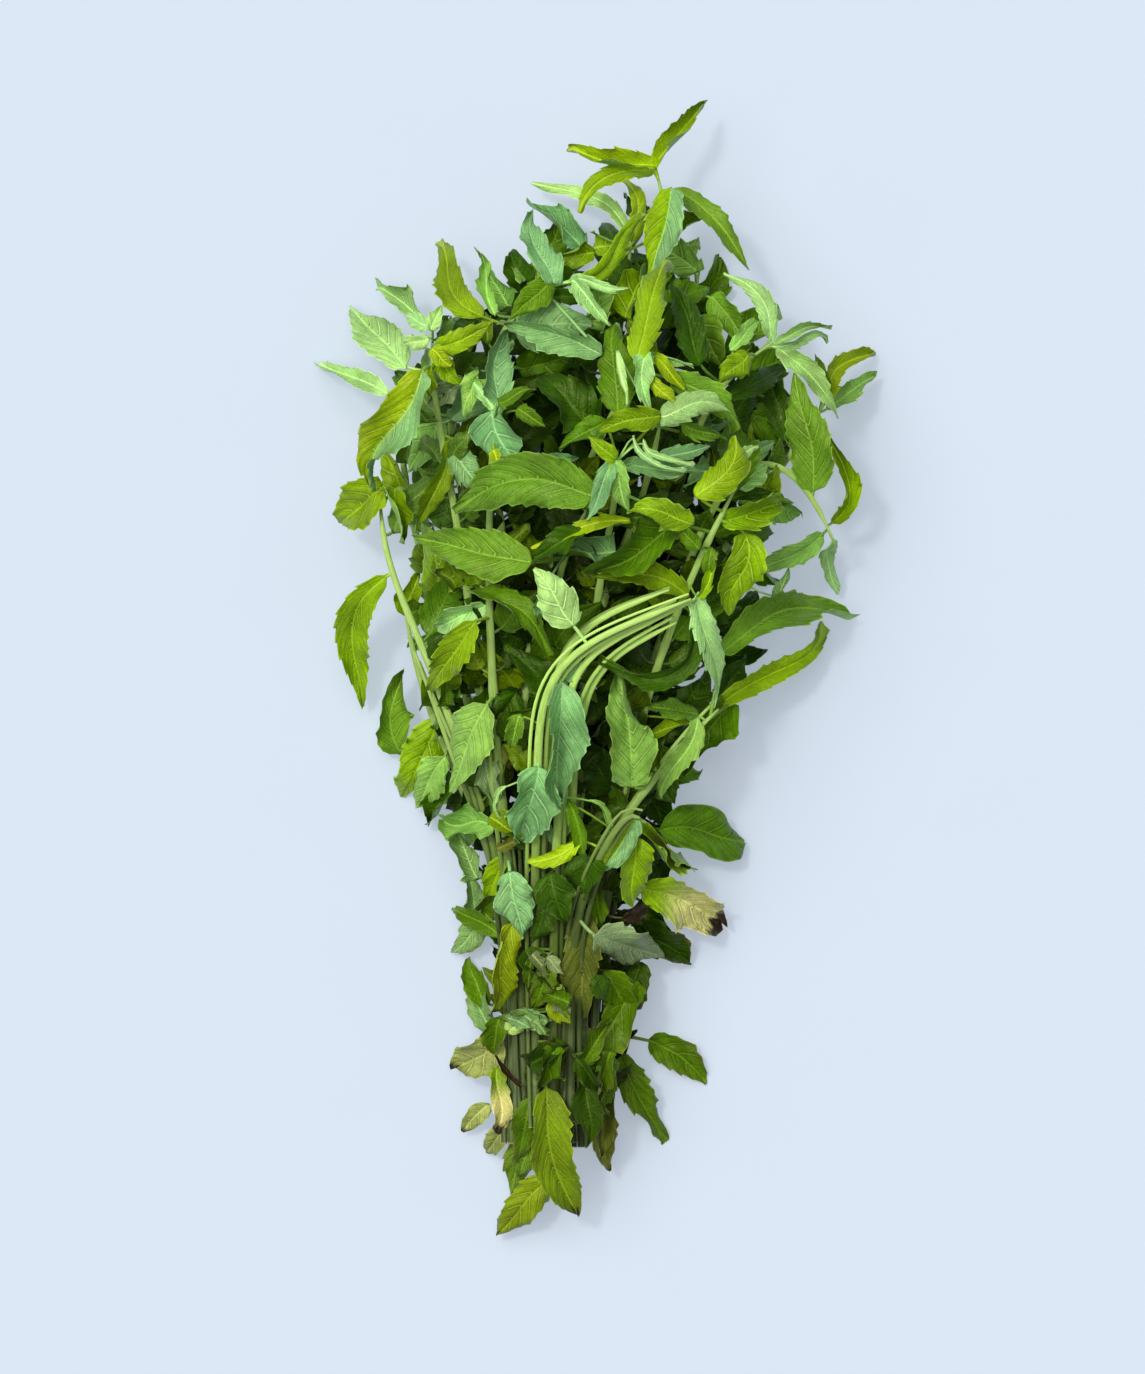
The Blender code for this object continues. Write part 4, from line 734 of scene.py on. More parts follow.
def directions(line):
    """A line's own directions at each point: along it, level to its side, and up from both.

    Where it stands nearly upright, the side is the X direction.
    """
    tangent = np.gradient(line, axis=0)
    tangent /= np.linalg.norm(tangent, axis=1, keepdims=True)
    side = np.cross(tangent, UP)
    long = np.linalg.norm(side, axis=1, keepdims=True)
    side = np.where(long > 0.1, side / np.maximum(long, 1e-6), np.array((1.0, 0.0, 0.0)))
    return tangent, side, np.cross(side, tangent)


def tube(points, radii, sides):
    """A closed tube round a line, with points and triangles, turned so that a flat is below."""
    _, side, up = directions(points)
    angles = 2 * math.pi * (np.arange(sides) + 0.5) / sides
    ring = (side[:, None, :] * np.cos(angles)[None, :, None]
            + up[:, None, :] * np.sin(angles)[None, :, None])
    rings = points[:, None, :] + ring * np.asarray(radii)[:, None, None]
    verts = rings.reshape(-1, 3)
    faces = []
    for i in range(len(points) - 1):
        for j in range(sides):
            a, b = i * sides + j, i * sides + (j + 1) % sides
            faces += [(a, b, a + sides), (b, b + sides, a + sides)]
    end = (len(points) - 1) * sides
    for j in range(1, sides - 1):
        faces += [(0, j + 1, j), (end, end + j, end + j + 1)]
    return verts, np.array(faces)


class Guard:
    """A placed piece with clearance round it, to keep the pieces of other stems off it."""

    def __init__(self, stem, verts, faces, leaf=False):
        self.stem = stem
        self.leaf = leaf
        self.low = verts.min(axis=0)
        self.high = verts.max(axis=0)
        self.tree = BVHTree.FromPolygons(verts.tolist(), faces.tolist())

    def meets(self, other):
        """The pairs of faces where the two cross, which are few or none."""
        if (self.low > other.high).any() or (other.low > self.high).any():
            return []
        return self.tree.overlap(other.tree)

    def crosses(self, other, free):
        """Whether another leaf of the same stem crosses this one with a face that is free."""
        return any(free[face] for _, face in self.meets(other))


def is_clear(guards, stem, candidate):
    """Whether a new piece keeps clear of the pieces of all other stems."""
    return not any(g.stem != stem and g.meets(candidate) for g in guards)


def leaf_shape(rng, width):
    """Fold, roll, twist, cup, wave and phase of a leaf, drawn within what mint leaves do."""
    fold = rng.uniform(*FOLD)
    roll = rng.uniform(*ROLL)
    twist = rng.uniform(*TWIST)
    cup = rng.uniform(*CUP) * width
    wave = rng.uniform(*WAVE) * width
    return [fold, roll, twist, cup, wave, rng.uniform(0, 1)]


def lay_spine(points, layer, lift):
    """The midrib of a leaf seen from above, laid at its layer's height and arched."""
    flat = smooth_line([(x, y, 0.0) for x, y in points])
    along = np.linspace(0, 1, len(flat))
    length = line_length(flat)
    share = LAYERS[layer]
    base = pile_at(*points[0]) * share
    tip = pile_at(*points[-1]) * share
    tip = min(tip, base + STEEPEST * length)
    arch = ARCH * length * 4 * along * (1 - along)
    flat[:, 2] = base + (tip - base) * along + arch + lift
    return flat


def teeth_on(width, length, index):
    """Teeth on each side of a leaf's edge: the large seen leaves have the most."""
    if width < SMALL_LEAF or index >= FIRST_PAIR:
        return 1
    return 3 if length > LONG_LEAF and width > WIDE_LEAF else 2


def stem_root(line, gaps, rng):
    """A point in the middle of a stem, at a place of its own near the leaf."""
    at = min(max(int(gaps.argmin()), 1), len(line) - 2)
    step = rng.uniform(-ROOT_SPREAD, ROOT_SPREAD) / STEM_STEP
    return line[at] + (line[at + 1] - line[at - 1]) / 2 * step


def add_leaf(plan, guards, lines, stems, index, spines, width, reach, tone):
    """Takes the first of a leaf's places that is clear of the other stems, or leaves the leaf out.

    stems are the stems that it may grow on. A name in their place means a loose leaf.
    """
    loose = isinstance(stems, str)
    for laid, turn in spines:
        rng = np.random.default_rng(SEED * LEAF_SEEDS + index)
        length = line_length(laid)
        shape = leaf_shape(rng, width)
        shape[1] += turn
        full = width / (math.cos(shape[0]) * math.cos(shape[1]))
        teeth = teeth_on(width, length, index)
        gaps = {k: np.linalg.norm(lines[k] - laid[0], axis=1) for k in (() if loose else stems)}
        near = sorted((k for k in gaps if gaps[k].min() < reach), key=lambda k: gaps[k].min())
        for owner in (stems,) if loose else near[:NEAREST_STEMS]:
            spine, start = laid, 0.0
            if not loose and gaps[owner].min() > LEAST_GAP:
                spine = np.vstack((stem_root(lines[owner], gaps[owner], rng), laid))
                start = gaps[owner].min() / (gaps[owner].min() + length)
            points, faces = coarse_blade(spine, start, full, shape, teeth)
            points[:, 2] = np.maximum(points[:, 2], BLADE_THICKNESS / 2 + FLOOR_GAP)
            verts, solid = closed_sheet(points, faces, BLADE_THICKNESS)
            blade = Guard(owner, verts, solid)
            if not is_clear(guards, owner, blade):
                continue
            away = np.linalg.norm(verts[solid].mean(axis=1) - spine[0], axis=1)
            free = away > start * length / (1 - start) + ROOT_REACH
            if any(g.leaf and g.stem == owner and g.crosses(blade, free) for g in guards):
                continue
            thick = BLADE_THICKNESS + 2 * CLEARANCE
            guards.append(Guard(owner, *closed_sheet(points, faces, thick), leaf=True))
            plan.append(Leaf(owner, spine, start, full, shape, tone, index))
            return


def lay_seen(plan, guards, lines, leaves, first, stems):
    """Lays leaves that are seen from above, the lowest layer first."""
    for index, (tone, layer, width, *points) in sorted(enumerate(leaves), key=lambda e: e[1][1]):
        owners = stems[index] if stems else range(len(lines))
        laid = [lay_spine(points, layer, lift) for lift in LIFTS]
        spines = [(spine, turn) for spine in laid for turn in TURNS]
        add_leaf(plan, guards, lines, owners, first + index, spines, width, STALK_REACH, tone)


def plan_bunch():
    """Every stem's middle line and every leaf: the seen ones, then those that fill the bunch."""
    lines = stem_lines()
    guards = []
    for k, line in enumerate(lines):
        kept = cad_points(line)
        guards.append(Guard(k, *tube(kept, stem_radii(len(kept)) + CLEARANCE, 4)))
    seen = LEAVES + tuple((tone, layer, width, *points)
                          for _, tone, layer, width, points in LOOSE_LEAVES)
    owners = [range(len(lines))] * len(LEAVES) + [name for name, *_ in LOOSE_LEAVES]
    plan = []
    lay_seen(plan, guards, lines, seen, 0, owners)
    fill_sides(plan, guards, lines, SIDE_PAIRS)
    lay_seen(plan, guards, lines, SMALL_LEAVES, FIRST_SMALL, None)
    for growth in INNER_PAIRS:
        fill_sides(plan, guards, lines, growth)
    return lines, plan


def fill_sides(plan, guards, lines, growth):
    """Pairs of leaves along each stem, kept under the seen leaves and inside the outline."""
    spacing, lengths, widths, start_y, first, per_stem, seed, tones = growth
    for k, line in enumerate(lines):
        rng = np.random.default_rng(SEED * seed + k)
        steps = int(spacing / STEM_STEP)
        start = int(np.argmax(line[:, 1] > start_y)) + int(rng.integers(0, steps))
        for rank, at in enumerate(range(start, len(line) - 1, steps)):
            tangent = line[at + 1] - line[at]
            tangent /= np.linalg.norm(tangent)
            side = np.cross(tangent, UP)
            side /= np.linalg.norm(side) + 1e-9
            up = np.cross(side, tangent)
            quarter = rank % 2 * math.pi / 2 + rng.uniform(-PAIR_TURN, PAIR_TURN)
            for half, turn in enumerate((0, math.pi)):
                length = rng.uniform(*lengths)
                width = rng.uniform(*widths)
                spines = []
                for swing in PAIR_SWINGS:
                    angle = quarter + turn + swing
                    out = side * math.cos(angle) + up * math.sin(angle)
                    ahead = (out * PAIR_OUT + tangent * PAIR_AHEAD) * length
                    middle = line[at] + ahead * 0.5
                    tip = line[at] + ahead - UP * PAIR_DROOP * length
                    tip[2] = max(tip[2], TIP_FLOOR)
                    middle[2] = max(middle[2], MIDDLE_FLOOR)
                    if is_inside(middle) and is_inside(tip):
                        root = line[at] + out * PAIR_ROOT
                        spines.append((smooth_line((root, middle, tip)), 0.0))
                index = first + k * per_stem + rank * 2 + half
                tone = tones[index % len(tones)]
                add_leaf(plan, guards, lines, (k,), index, spines, width, PAIR_REACH, tone)


def is_inside(point):
    """Whether a point lies under the seen leaves and inside the bunch's outline."""
    x, y, z = point
    middle = np.interp(y, PILE[:, 0], PILE[:, 1])
    half = np.interp(y, PILE[:, 0], PILE[:, 2]) * np.interp(y, INSIDE_Y, INSIDE_SHARE)
    return z < PAIR_CEILING * pile_at(x, y) and abs(x - middle) < half


# The fine leaves' teeth: length and depth in millimetres, fewest and most a side, the deepest as a
# share of the half width, how fast they fade inwards, the level that leaves the width as it is, how
# far they lean forward and from which point, where along the blade they begin and end, how unlike
# they are, and the places of the rows along one tooth with how far the edge has widened there
TOOTH_LENGTH = 3.4
TOOTH_DEPTH = 0.9
FINE_TEETH = (4, 11)
DEEPEST_TOOTH = 0.17
TOOTH_FADE = 6
TOOTH_LEVEL = 0.65
TOOTH_LEAN = 0.35
TOOTH_MIDDLE = 0.4
TEETH_BEGIN = (0.04, 0.2)
TEETH_END = (0.9, 1.0)
BITES = (0.35, 1.25)
TOOTH_ROWS = {
    5: (np.array((0.0, 0.32, 0.6, 0.8, 0.9)), np.array((0.0, 0.3, 0.68, 1.0, 0.5))),
    3: (np.array((0.0, 0.45, 0.8)), np.array((0.0, 0.5, 1.0))),
}

# The fine leaves' sheet in millimetres: its thickness and how low its middle may lie. Its columns
# stand closer towards the margins, by the power, and its rim is where across is 1
SHEET = 0.34
LOWEST = 0.32
COLUMN_POWER = 0.85
RIM = 0.999

# The side veins: how far they lean forward, their spacing on a wide and a narrow leaf, the fewest,
# how far they are shifted on one half, and how far the whole leaf sways as a share of its length
VEIN_LEAN = 0.42
VEIN_SPACING = 5.0
NARROW_VEIN_SPACING = 3.4
FEWEST_VEINS = 3.0
VEIN_SHIFT = 0.4
SWAY = 0.02

# The relief on a leaf of full width, in millimetres: the swell between the veins and the share of
# it that is taken off again, the height of the smaller ridges, and the midrib's depth and share of
# the half width
GROWN_WIDTH = 20.0
SWELL = 0.85
SUNK = 0.6
RIDGES = 0.16
MIDRIB_DEPTH = 0.45
MIDRIB_SHARE = 0.08

# Where along the blade the swell begins and ends, and where the margins start to turn
SWELL_BEGINS = (0.02, 0.12)
SWELL_ENDS = (0.86, 1.0)
MARGINS_BEGIN = (0.0, 0.25)

# How the margins turn: mean and spread for both, spread of the difference, the most of the width
# that counts, and the power by which it grows towards the edge
TURNED_UP = (0.05, 0.19)
TURNED_OVER = 0.12
MOST_TURNED = 10.0
MARGIN_POWER = 2.2

# The margins' waves along a leaf, how far they swing, and the most of the length that counts
MARGIN_WAVES = (1.6, 3.2)
MARGIN_SWINGS = (0.06, 0.15)
SWING_REACH = 0.35

# How the blade is pinched, flutters, is uneven and bends from TIP_BENDS on, as shares of its width
# or length
PINCH = (0.0, 0.5)
FLUTTER = 0.02
FLUTTERS = 5.3
UNEVEN = 0.018
TIP_BEND = (-0.2, 0.06)
TIP_BENDS = (0.55, 1.2)
BEND_POWER = 1.6

# The leaves' stalks, and the rib that each becomes under its blade: radius, points, how far the rib
# reaches along the blade, its size at both ends, how deep it is sunk in the blade, how thin a tiny
# leaf's stalk is and the leaf's width that it grows by, and the gap under it
STALK_RADIUS = 0.55
STALK_POINTS = 5
RIB_REACH = 0.86
RIB_SIZES = (0.85, 0.3)
RIB_SINK = 0.75
STALK_LEAST = 0.45
STALK_FULL_WIDTH = 26.0
STALK_GAP = 0.05

# How far a tube's two closed ends stand out, as shares of its radius: the cut end is flat
CUT_BULGE = 0.02
TIP_BULGE = 0.7

# How drawn out the tips are: 0 for a round one, and the usual number for all tones that aren't
# named. A drawn-out tip narrows by the taper, and a round one is widened over its last blunt span
USUAL_POINT = 0.75
POINT_SPREAD = (0.7, 1.3)
TAPER = 0.36
TAPERS = (0.45, 1.0)
BLUNT_SPAN = 0.62
BLUNT_END = 1.02
BLUNT_POWER = 0.4
BLUNT_LOSS = 1.3
TIP_POINTS = {"smooth": 0.0, "cream": 0.1, "lime": 0.4, "pale": 0.8, "light": 0.6, "dull": 0.3,
              "wilted": 0.3, "yellow": 0.3, "ending": 0.3}

# Columns across a leaf, rows a tooth and sides of its stalk, for each grade of leaf, and the widths
# over which a leaf is large or medium
GRADES = {"large": (20, 5, 6), "medium": (14, 5, 6), "small": (10, 3, 5), "inner": (6, 3, 4)}
LARGE_WIDTH = 8.5
MEDIUM_WIDTH = 4.5


def grade_of(leaf):
    """How finely a leaf is made: by its size where it is seen, coarser inside the bunch."""
    if leaf.index >= FIRST_INNER:
        return "inner"
    if leaf.index >= FIRST_PAIR or leaf.width <= MEDIUM_WIDTH:
        return "small"
    return "large" if leaf.width > LARGE_WIDTH else "medium"


def ease(value, low, high):
    """0 below low, 1 above high, and a smooth S between them."""
    t = np.clip((value - low) / (high - low), 0, 1)
    return t * t * (3 - 2 * t)


def blended(a, b, share):
    """a where share is 0, b where it is 1, and evenly mixed between them."""
    return a * (1 - share) + b * share


@lru_cache(maxsize=None)
def sheet_faces(rows, columns):
    """Triangles of a closed leaf: two sheets that share their side margins, base and tip.

    Point 0 is the base and 1 the tip. The upper sheet's rows follow, then the under sheet's without
    their ends, which are the upper sheet's.
    """
    upper = 2 + np.arange(rows * (columns + 1)).reshape(rows, columns + 1)
    under = upper.copy()
    under[:, 1:-1] = 2 + upper.size + np.arange(rows * (columns - 1)).reshape(rows, columns - 1)
    faces = []
    for sheet, turn in ((upper, 1), (under, -1)):
        a, b, c, d = sheet[:-1, :-1], sheet[:-1, 1:], sheet[1:, 1:], sheet[1:, :-1]
        base = np.stack((np.zeros(columns, int), sheet[0, 1:], sheet[0, :-1]), axis=-1)
        tip = np.stack((np.ones(columns, int), sheet[-1, :-1], sheet[-1, 1:]), axis=-1)
        body = np.concatenate((np.stack((a, b, c), axis=-1).reshape(-1, 3),
                               np.stack((a, c, d), axis=-1).reshape(-1, 3)))
        faces.append(np.vstack((body, base, tip))[:, ::turn])
    return np.vstack(faces)


def relief(rng, u, v, phase, width, length):
    """Height of the leaf's surface over its smooth form, in millimetres.

    The blade swells between its side veins, sinks along them and along the midrib, and is
    crossed by smaller ridges. Its margins turn up or down, more on one side, and swing in waves,
    its tip bends, and the whole is slightly uneven.
    """
    size = min(1.0, width / GROWN_WIDTH)
    out = np.abs(v)
    field = np.abs(np.sin(math.pi * phase))
    open_part = (1 - out ** 4) * ease(u, *SWELL_BEGINS) * (1 - ease(u, *SWELL_ENDS))
    swell = SWELL * size * (np.sqrt(field) - SUNK) * open_part * (0.5 + 0.5 * ease(out, 0.0, 0.3))
    ridges = RIDGES * size * field * np.sin(9 * out + 5 * np.floor(phase) + 4 * np.sign(v))
    midrib = -MIDRIB_DEPTH * size * np.exp(-(v / MIDRIB_SHARE) ** 2)
    a, b, c = rng.uniform(0, 6.3, 3)
    span = min(width, MOST_TURNED)
    turned = rng.normal(*TURNED_UP) * span * out ** MARGIN_POWER
    turned = turned + rng.normal(0.0, TURNED_OVER) * span * v * out
    swing = np.sin(2 * math.pi * rng.uniform(*MARGIN_WAVES) * u + a + 1.9 * np.sign(v))
    waves = rng.uniform(*MARGIN_SWINGS) * min(width, SWING_REACH * length) * swing
    waves = waves * out ** MARGIN_POWER
    pinch = rng.uniform(*PINCH) * span / 2 * out * blade_outline(u)
    flutter = FLUTTER * width * np.sin(2 * math.pi * FLUTTERS * u + b - 2 * np.sign(v)) * out ** 4
    uneven = UNEVEN * width * (np.sin(7 * u + b + 3 * v) + np.sin(12 * u - 5 * v + c))
    tip = rng.uniform(*TIP_BEND) * length * ease(u, *TIP_BENDS) ** BEND_POWER
    margins = (turned + waves + flutter + uneven + pinch) * ease(u, *MARGINS_BEGIN)
    return swell + ridges * open_part + midrib + margins + tip


def fine_blade(leaf):
    """Points, triangles and values of one leaf: its two sheets on a grid of rows and columns.

    Along the margin each tooth leans forward: the edge widens slowly and steps back quickly,
    which fades quickly inwards. The values are how far along and across in millimetres, the side
    vein's number, the place across, and 1 on the under sheet.
    """
    rng = np.random.default_rng(SEED * BLADE_SEEDS + leaf.index)
    columns, per_tooth, _ = GRADES[grade_of(leaf)]
    length = line_length(leaf.spine) * (1 - leaf.start)
    teeth = int(np.clip(round(length / TOOTH_LENGTH), *FINE_TEETH))
    places, rise = TOOTH_ROWS[per_tooth]
    row_u = ((np.arange(teeth)[:, None] + places) / teeth).ravel()[1:]
    saw = np.tile(rise, teeth)[1:]
    other = np.roll(saw, per_tooth // 2)
    row_v = np.linspace(-1, 1, columns + 1)
    row_v = np.sign(row_v) * np.abs(row_v) ** COLUMN_POWER
    u, v = np.meshgrid(row_u, row_v, indexing="ij")
    bite = np.repeat(rng.uniform(*BITES, (teeth, 2)), per_tooth, axis=0)[1:]
    tooth = np.where(v > 0, (saw * bite[:, 0])[:, None], (other * bite[:, 1])[:, None])
    edge = np.abs(v) ** TOOTH_FADE * (ease(u, *TEETH_BEGIN) * (1 - ease(u, *TEETH_END)))
    toothless = leaf.tone == "smooth"
    depth = 0.0 if toothless else min(DEEPEST_TOOTH, TOOTH_DEPTH / (leaf.width / 2))
    lean = u + TOOTH_LEAN / teeth * (tooth - TOOTH_MIDDLE) * edge * (depth > 0)
    point = TIP_POINTS.get(leaf.tone, USUAL_POINT) * rng.uniform(*POINT_SPREAD)
    blunt = np.maximum(1.0, BLUNT_SPAN / (BLUNT_END - u))
    blunt = blunt ** (BLUNT_POWER * max(0.0, 1 - BLUNT_LOSS * point))
    taper = (1 - TAPER * point * ease(u, *TAPERS)) * blunt
    wide = v * (1 + depth * (tooth - TOOTH_LEVEL) * edge) * taper
    points = blade_points(leaf.spine, leaf.start, leaf.width, leaf.shape, lean, wide)
    even = blade_points(leaf.spine, leaf.start, leaf.width, leaf.shape, u, v)
    spacing = VEIN_SPACING if leaf.width > WIDE_LEAF else NARROW_VEIN_SPACING
    veins = max(FEWEST_VEINS, length / spacing)
    sweep = VEIN_LEAN * (0.75 * np.abs(v) + 0.25 * v * v) * (1 - 0.5 * u)
    phase = veins * (u - sweep) + rng.uniform(0, 1) + VEIN_SHIFT * (v > 0)
    normal = np.cross(np.gradient(even, axis=1), np.gradient(even, axis=0))
    normal /= np.linalg.norm(normal, axis=-1, keepdims=True) + 1e-9
    facing = 1.0 if normal[..., 2].mean() > 0 else -1.0
    middle = slice(columns // 2, columns // 2 + 1)
    sideways = np.cross(np.gradient(even, axis=0)[:, middle], normal[:, middle])
    sideways /= np.linalg.norm(sideways, axis=-1, keepdims=True) + 1e-9
    bend = rng.normal(0, SWAY, 2) * length
    sway = bend[0] * np.sin(math.pi * u) + bend[1] * np.sin(2 * math.pi * u)
    points = points + sideways * sway[..., None]
    points = points + facing * normal * relief(rng, u, v, phase, leaf.width, length)[..., None]
    points[..., 2] = np.maximum(points[..., 2], LOWEST)
    inside = slice(1, -1)
    upper = points.copy()
    upper[:, inside] += normal[:, inside] * SHEET / 2
    under = points[:, inside] - normal[:, inside] * SHEET / 2
    under[..., 2] = np.maximum(under[..., 2], FLOOR_GAP)
    ends = blade_points(leaf.spine, leaf.start, leaf.width, leaf.shape,
                        np.array((0.0, 1.0)), np.array((0.0, 0.0)))
    ends[1] = 2 * points[-1, columns // 2] - points[-2, columns // 2]
    ends[:, 2] = np.maximum(ends[:, 2], LOWEST)
    half = leaf.width / 2 * blade_outline(u)
    side = (1 - facing) / 2
    values = np.stack((u * length, v * half, phase, v * facing, np.full_like(u, side)), axis=-1)
    below = values[:, inside].copy()
    below[..., 4] = 1 - side
    end_values = np.array(((0.0, 0.0, 0.5, 0.0, side), (length, 0.0, 0.5, 0.0, side)))
    points = np.vstack((ends, upper.reshape(-1, 3), under.reshape(-1, 3)))
    values = np.vstack((end_values, values.reshape(-1, 5), below.reshape(-1, 5)))
    return points, sheet_faces(len(row_u), columns), values, length


def round_tube(line, radii, sides, ridge=0.0):
    """A closed tube round a line: rings of sides points, each end closed to one point.

    The radius at an angle is the ring's radius times 1 + ridge cos 4 angle, which with a ridge
    gives the rounded square of a mint stem.
    """
    tangent, side, up = directions(line)
    angles = 2 * math.pi * np.arange(sides) / sides
    shape = 1 + ridge * np.cos(4 * (angles - math.pi / 4))
    ring = (side[:, None] * np.cos(angles)[None, :, None]
            + up[:, None] * np.sin(angles)[None, :, None])
    rings = line[:, None] + ring * (radii[:, None] * shape[None])[..., None]
    count = len(line)
    index = 2 + np.arange(count * sides).reshape(count, sides)
    a, b = index[:-1], np.roll(index[:-1], -1, axis=1)
    c, d = np.roll(index[1:], -1, axis=1), index[1:]
    first, last = index[0], index[-1]
    faces = np.concatenate((
        np.stack((a, b, c), axis=-1).reshape(-1, 3), np.stack((a, c, d), axis=-1).reshape(-1, 3),
        np.stack((np.zeros(sides, int), np.roll(first, -1), first), axis=-1),
        np.stack((np.ones(sides, int), last, np.roll(last, -1)), axis=-1)))[:, ::-1]
    ends = np.stack((line[0] - tangent[0] * radii[0] * CUT_BULGE,
                     line[-1] + tangent[-1] * radii[-1] * TIP_BULGE))
    return np.vstack((ends, rings.reshape(-1, 3))), faces


def leaf_stalk(leaf, blade, rows, columns):
    """The leaf's stalk and the rib that it becomes under the blade, thinning towards the tip."""
    _, _, sides = GRADES[grade_of(leaf)]
    lengths = distances(leaf.spine)
    at = np.linspace(0, leaf.start, STALK_POINTS)[:-1] * lengths[-1]
    free = read_line(leaf.spine, lengths, at)
    middle = blade[2:2 + rows * (columns + 1)].reshape(rows, columns + 1, 3)[:, columns // 2]
    middle = middle[: max(2, int(rows * RIB_REACH)):2]
    start = free if leaf.start > 0 else leaf.spine[:1]
    line = np.vstack((start, middle))
    size = min(1.0, STALK_LEAST + leaf.width / STALK_FULL_WIDTH)
    radii = STALK_RADIUS * size * np.concatenate((np.ones(len(start)),
                                                  np.linspace(*RIB_SIZES, len(middle))))
    line[len(start):] -= UP * (radii[len(start):, None] * RIB_SINK)
    smooth = line.copy()
    smooth[1:-1] = line[1:-1] * 0.5 + (line[:-2] + line[2:]) * 0.25
    smooth[:, 2] = np.maximum(smooth[:, 2], radii + STALK_GAP)
    return round_tube(smooth, radii, sides)


def paint(red, green, blue):
    """The light value of a colour given as it is seen, each channel from 0 to 255."""
    seen = np.array((red, green, blue)) / 255
    return tuple(np.where(seen <= 0.04045, seen / 12.92, ((seen + 0.055) / 1.055) ** 2.4).tolist())


def swatch(name, description, red, green, blue):
    """A colour that a user can change, given as it is seen."""
    return FloatVectorProperty(name=name, description=description, subtype="COLOR", size=3,
                               min=0, max=1, default=paint(red, green, blue))


class MintLeafColours(bpy.types.PropertyGroup):
    """Colours of the leaves' upper and under sides."""

    lime: swatch("Lime", "Young leaves of the shoot tips", 148, 180, 8)
    olive: swatch("Olive", "Grown leaves that catch the light", 126, 164, 2)
    green: swatch("Green", "Grown leaves in half shade", 84, 128, 8)
    # Dark is partly the leaves' own dark green and partly painted shade for those deep in the bunch
    dark: swatch("Dark", "Old leaves deep in the bunch", 50, 88, 4)
    blue: swatch("Underside", "Leaves that lie with their blue-green underside up", 122, 174, 106)
    pale: swatch("Pale", "Pale young leaves", 164, 212, 122)
    mid: swatch("Middle green", "Grown leaves in full light", 104, 150, 34)
    light: swatch("Light green", "Soft light leaves", 132, 182, 78)
    grey: swatch("Grey", "Leaves that have lost their gloss", 134, 164, 112)
    yellow: swatch("Yellow", "Leaves that have turned yellow", 148, 176, 8)
    wilted: swatch("Wilted", "Wilted leaves at the cut end", 150, 162, 84)
    dull: swatch("Dull", "Leaves that have turned dull and brownish", 98, 110, 36)
    cream: swatch("Cream", "Leaves that have dried to cream", 210, 210, 130)
    brown: swatch("Brown", "Dried tips and spots", 42, 30, 16)
    old: swatch("Old green", "Large old leaves at the cut end", 110, 136, 8)
    margin: swatch("Old margins", "Edges of the old leaves at the cut end", 118, 96, 60)
    vein: swatch("Veins", "The midrib and the side veins", 214, 236, 140)


class MintStemColours(bpy.types.PropertyGroup):
    """Colours of the stems and stalks."""

    fresh: swatch("Fresh", "Stems above the tied end", 168, 204, 100)
    old: swatch("Old", "Stems in the tied end", 72, 92, 26)
    cut: swatch("Cut", "Cut ends of the stems", 166, 160, 98)


class MintSize(bpy.types.PropertyGroup):
    """Sizes of the fine stems."""

    stem_step: FloatProperty(
        name="Stem step", description="Distance between a fine stem's rings",
        unit="LENGTH", subtype="DISTANCE", default=0.003, min=0.001)
    joint_spacing: FloatProperty(
        name="Joint spacing", description="Distance between a stem's leaf joints",
        unit="LENGTH", subtype="DISTANCE", default=0.034, min=0.005)
    stem_sides: IntProperty(
        name="Stem sides", description="Points round a stem", default=14, min=8)
    side_shoots: IntProperty(
        name="Side shoots", description="Thin shoots beside each stem", default=2, min=0, max=3)


class MintStage(bpy.types.PropertyGroup):
    """The table, the light and the camera."""

    table: swatch("Table", "Colour of the table", 211, 223, 240)
    sun: FloatProperty(
        name="Window light", description="Strength of the soft light from the upper left",
        default=2.2, min=0)
    lamp: FloatProperty(
        name="Lamp", description="Strength of the clear light that models the leaves",
        default=0.88, min=0)
    glow: FloatProperty(
        name="Table glow", description="Share of the table's light that is its own",
        default=0.45, min=0, max=1)
    sky: FloatProperty(
        name="Room light", description="Strength of the even light from all round",
        default=0.3, min=0)
    softness: FloatProperty(
        name="Softness", description="How wide the window light is seen from the table",
        subtype="ANGLE", default=math.radians(60), min=0, max=math.pi)
    distance: FloatProperty(
        name="Camera height", description="How far the camera is above the table",
        unit="LENGTH", subtype="DISTANCE", default=3.0, min=0.5)


# The photograph's frame: its pixels, the size of one in millimetres, the plan's origin in it, and
# the height above the table at which that size holds. Then the camera's sensor in millimetres and
# how far it sees in metres
PHOTO_WIDTH = 1145
PHOTO_HEIGHT = 1374
PIXEL = 0.28
ORIGIN_PIXEL = (596, 670)
FOCUS_HEIGHT = 24.0
SENSOR = 36.0
CAMERA_REACH = 20.0

# The stage: half the table's side and the gap above it in metres, how both lights are turned, how
# wide the lamp is seen, and the colours of the light
TABLE_HALF = 4.0
TABLE_GAP = 0.0002
SUN_TURN = (math.radians(-15), math.radians(-18), 0.0)
LAMP_ANGLE = math.radians(7)
SUN_COLOUR = paint(255, 252, 244)
ROOM_COLOUR = paint(246, 248, 250)


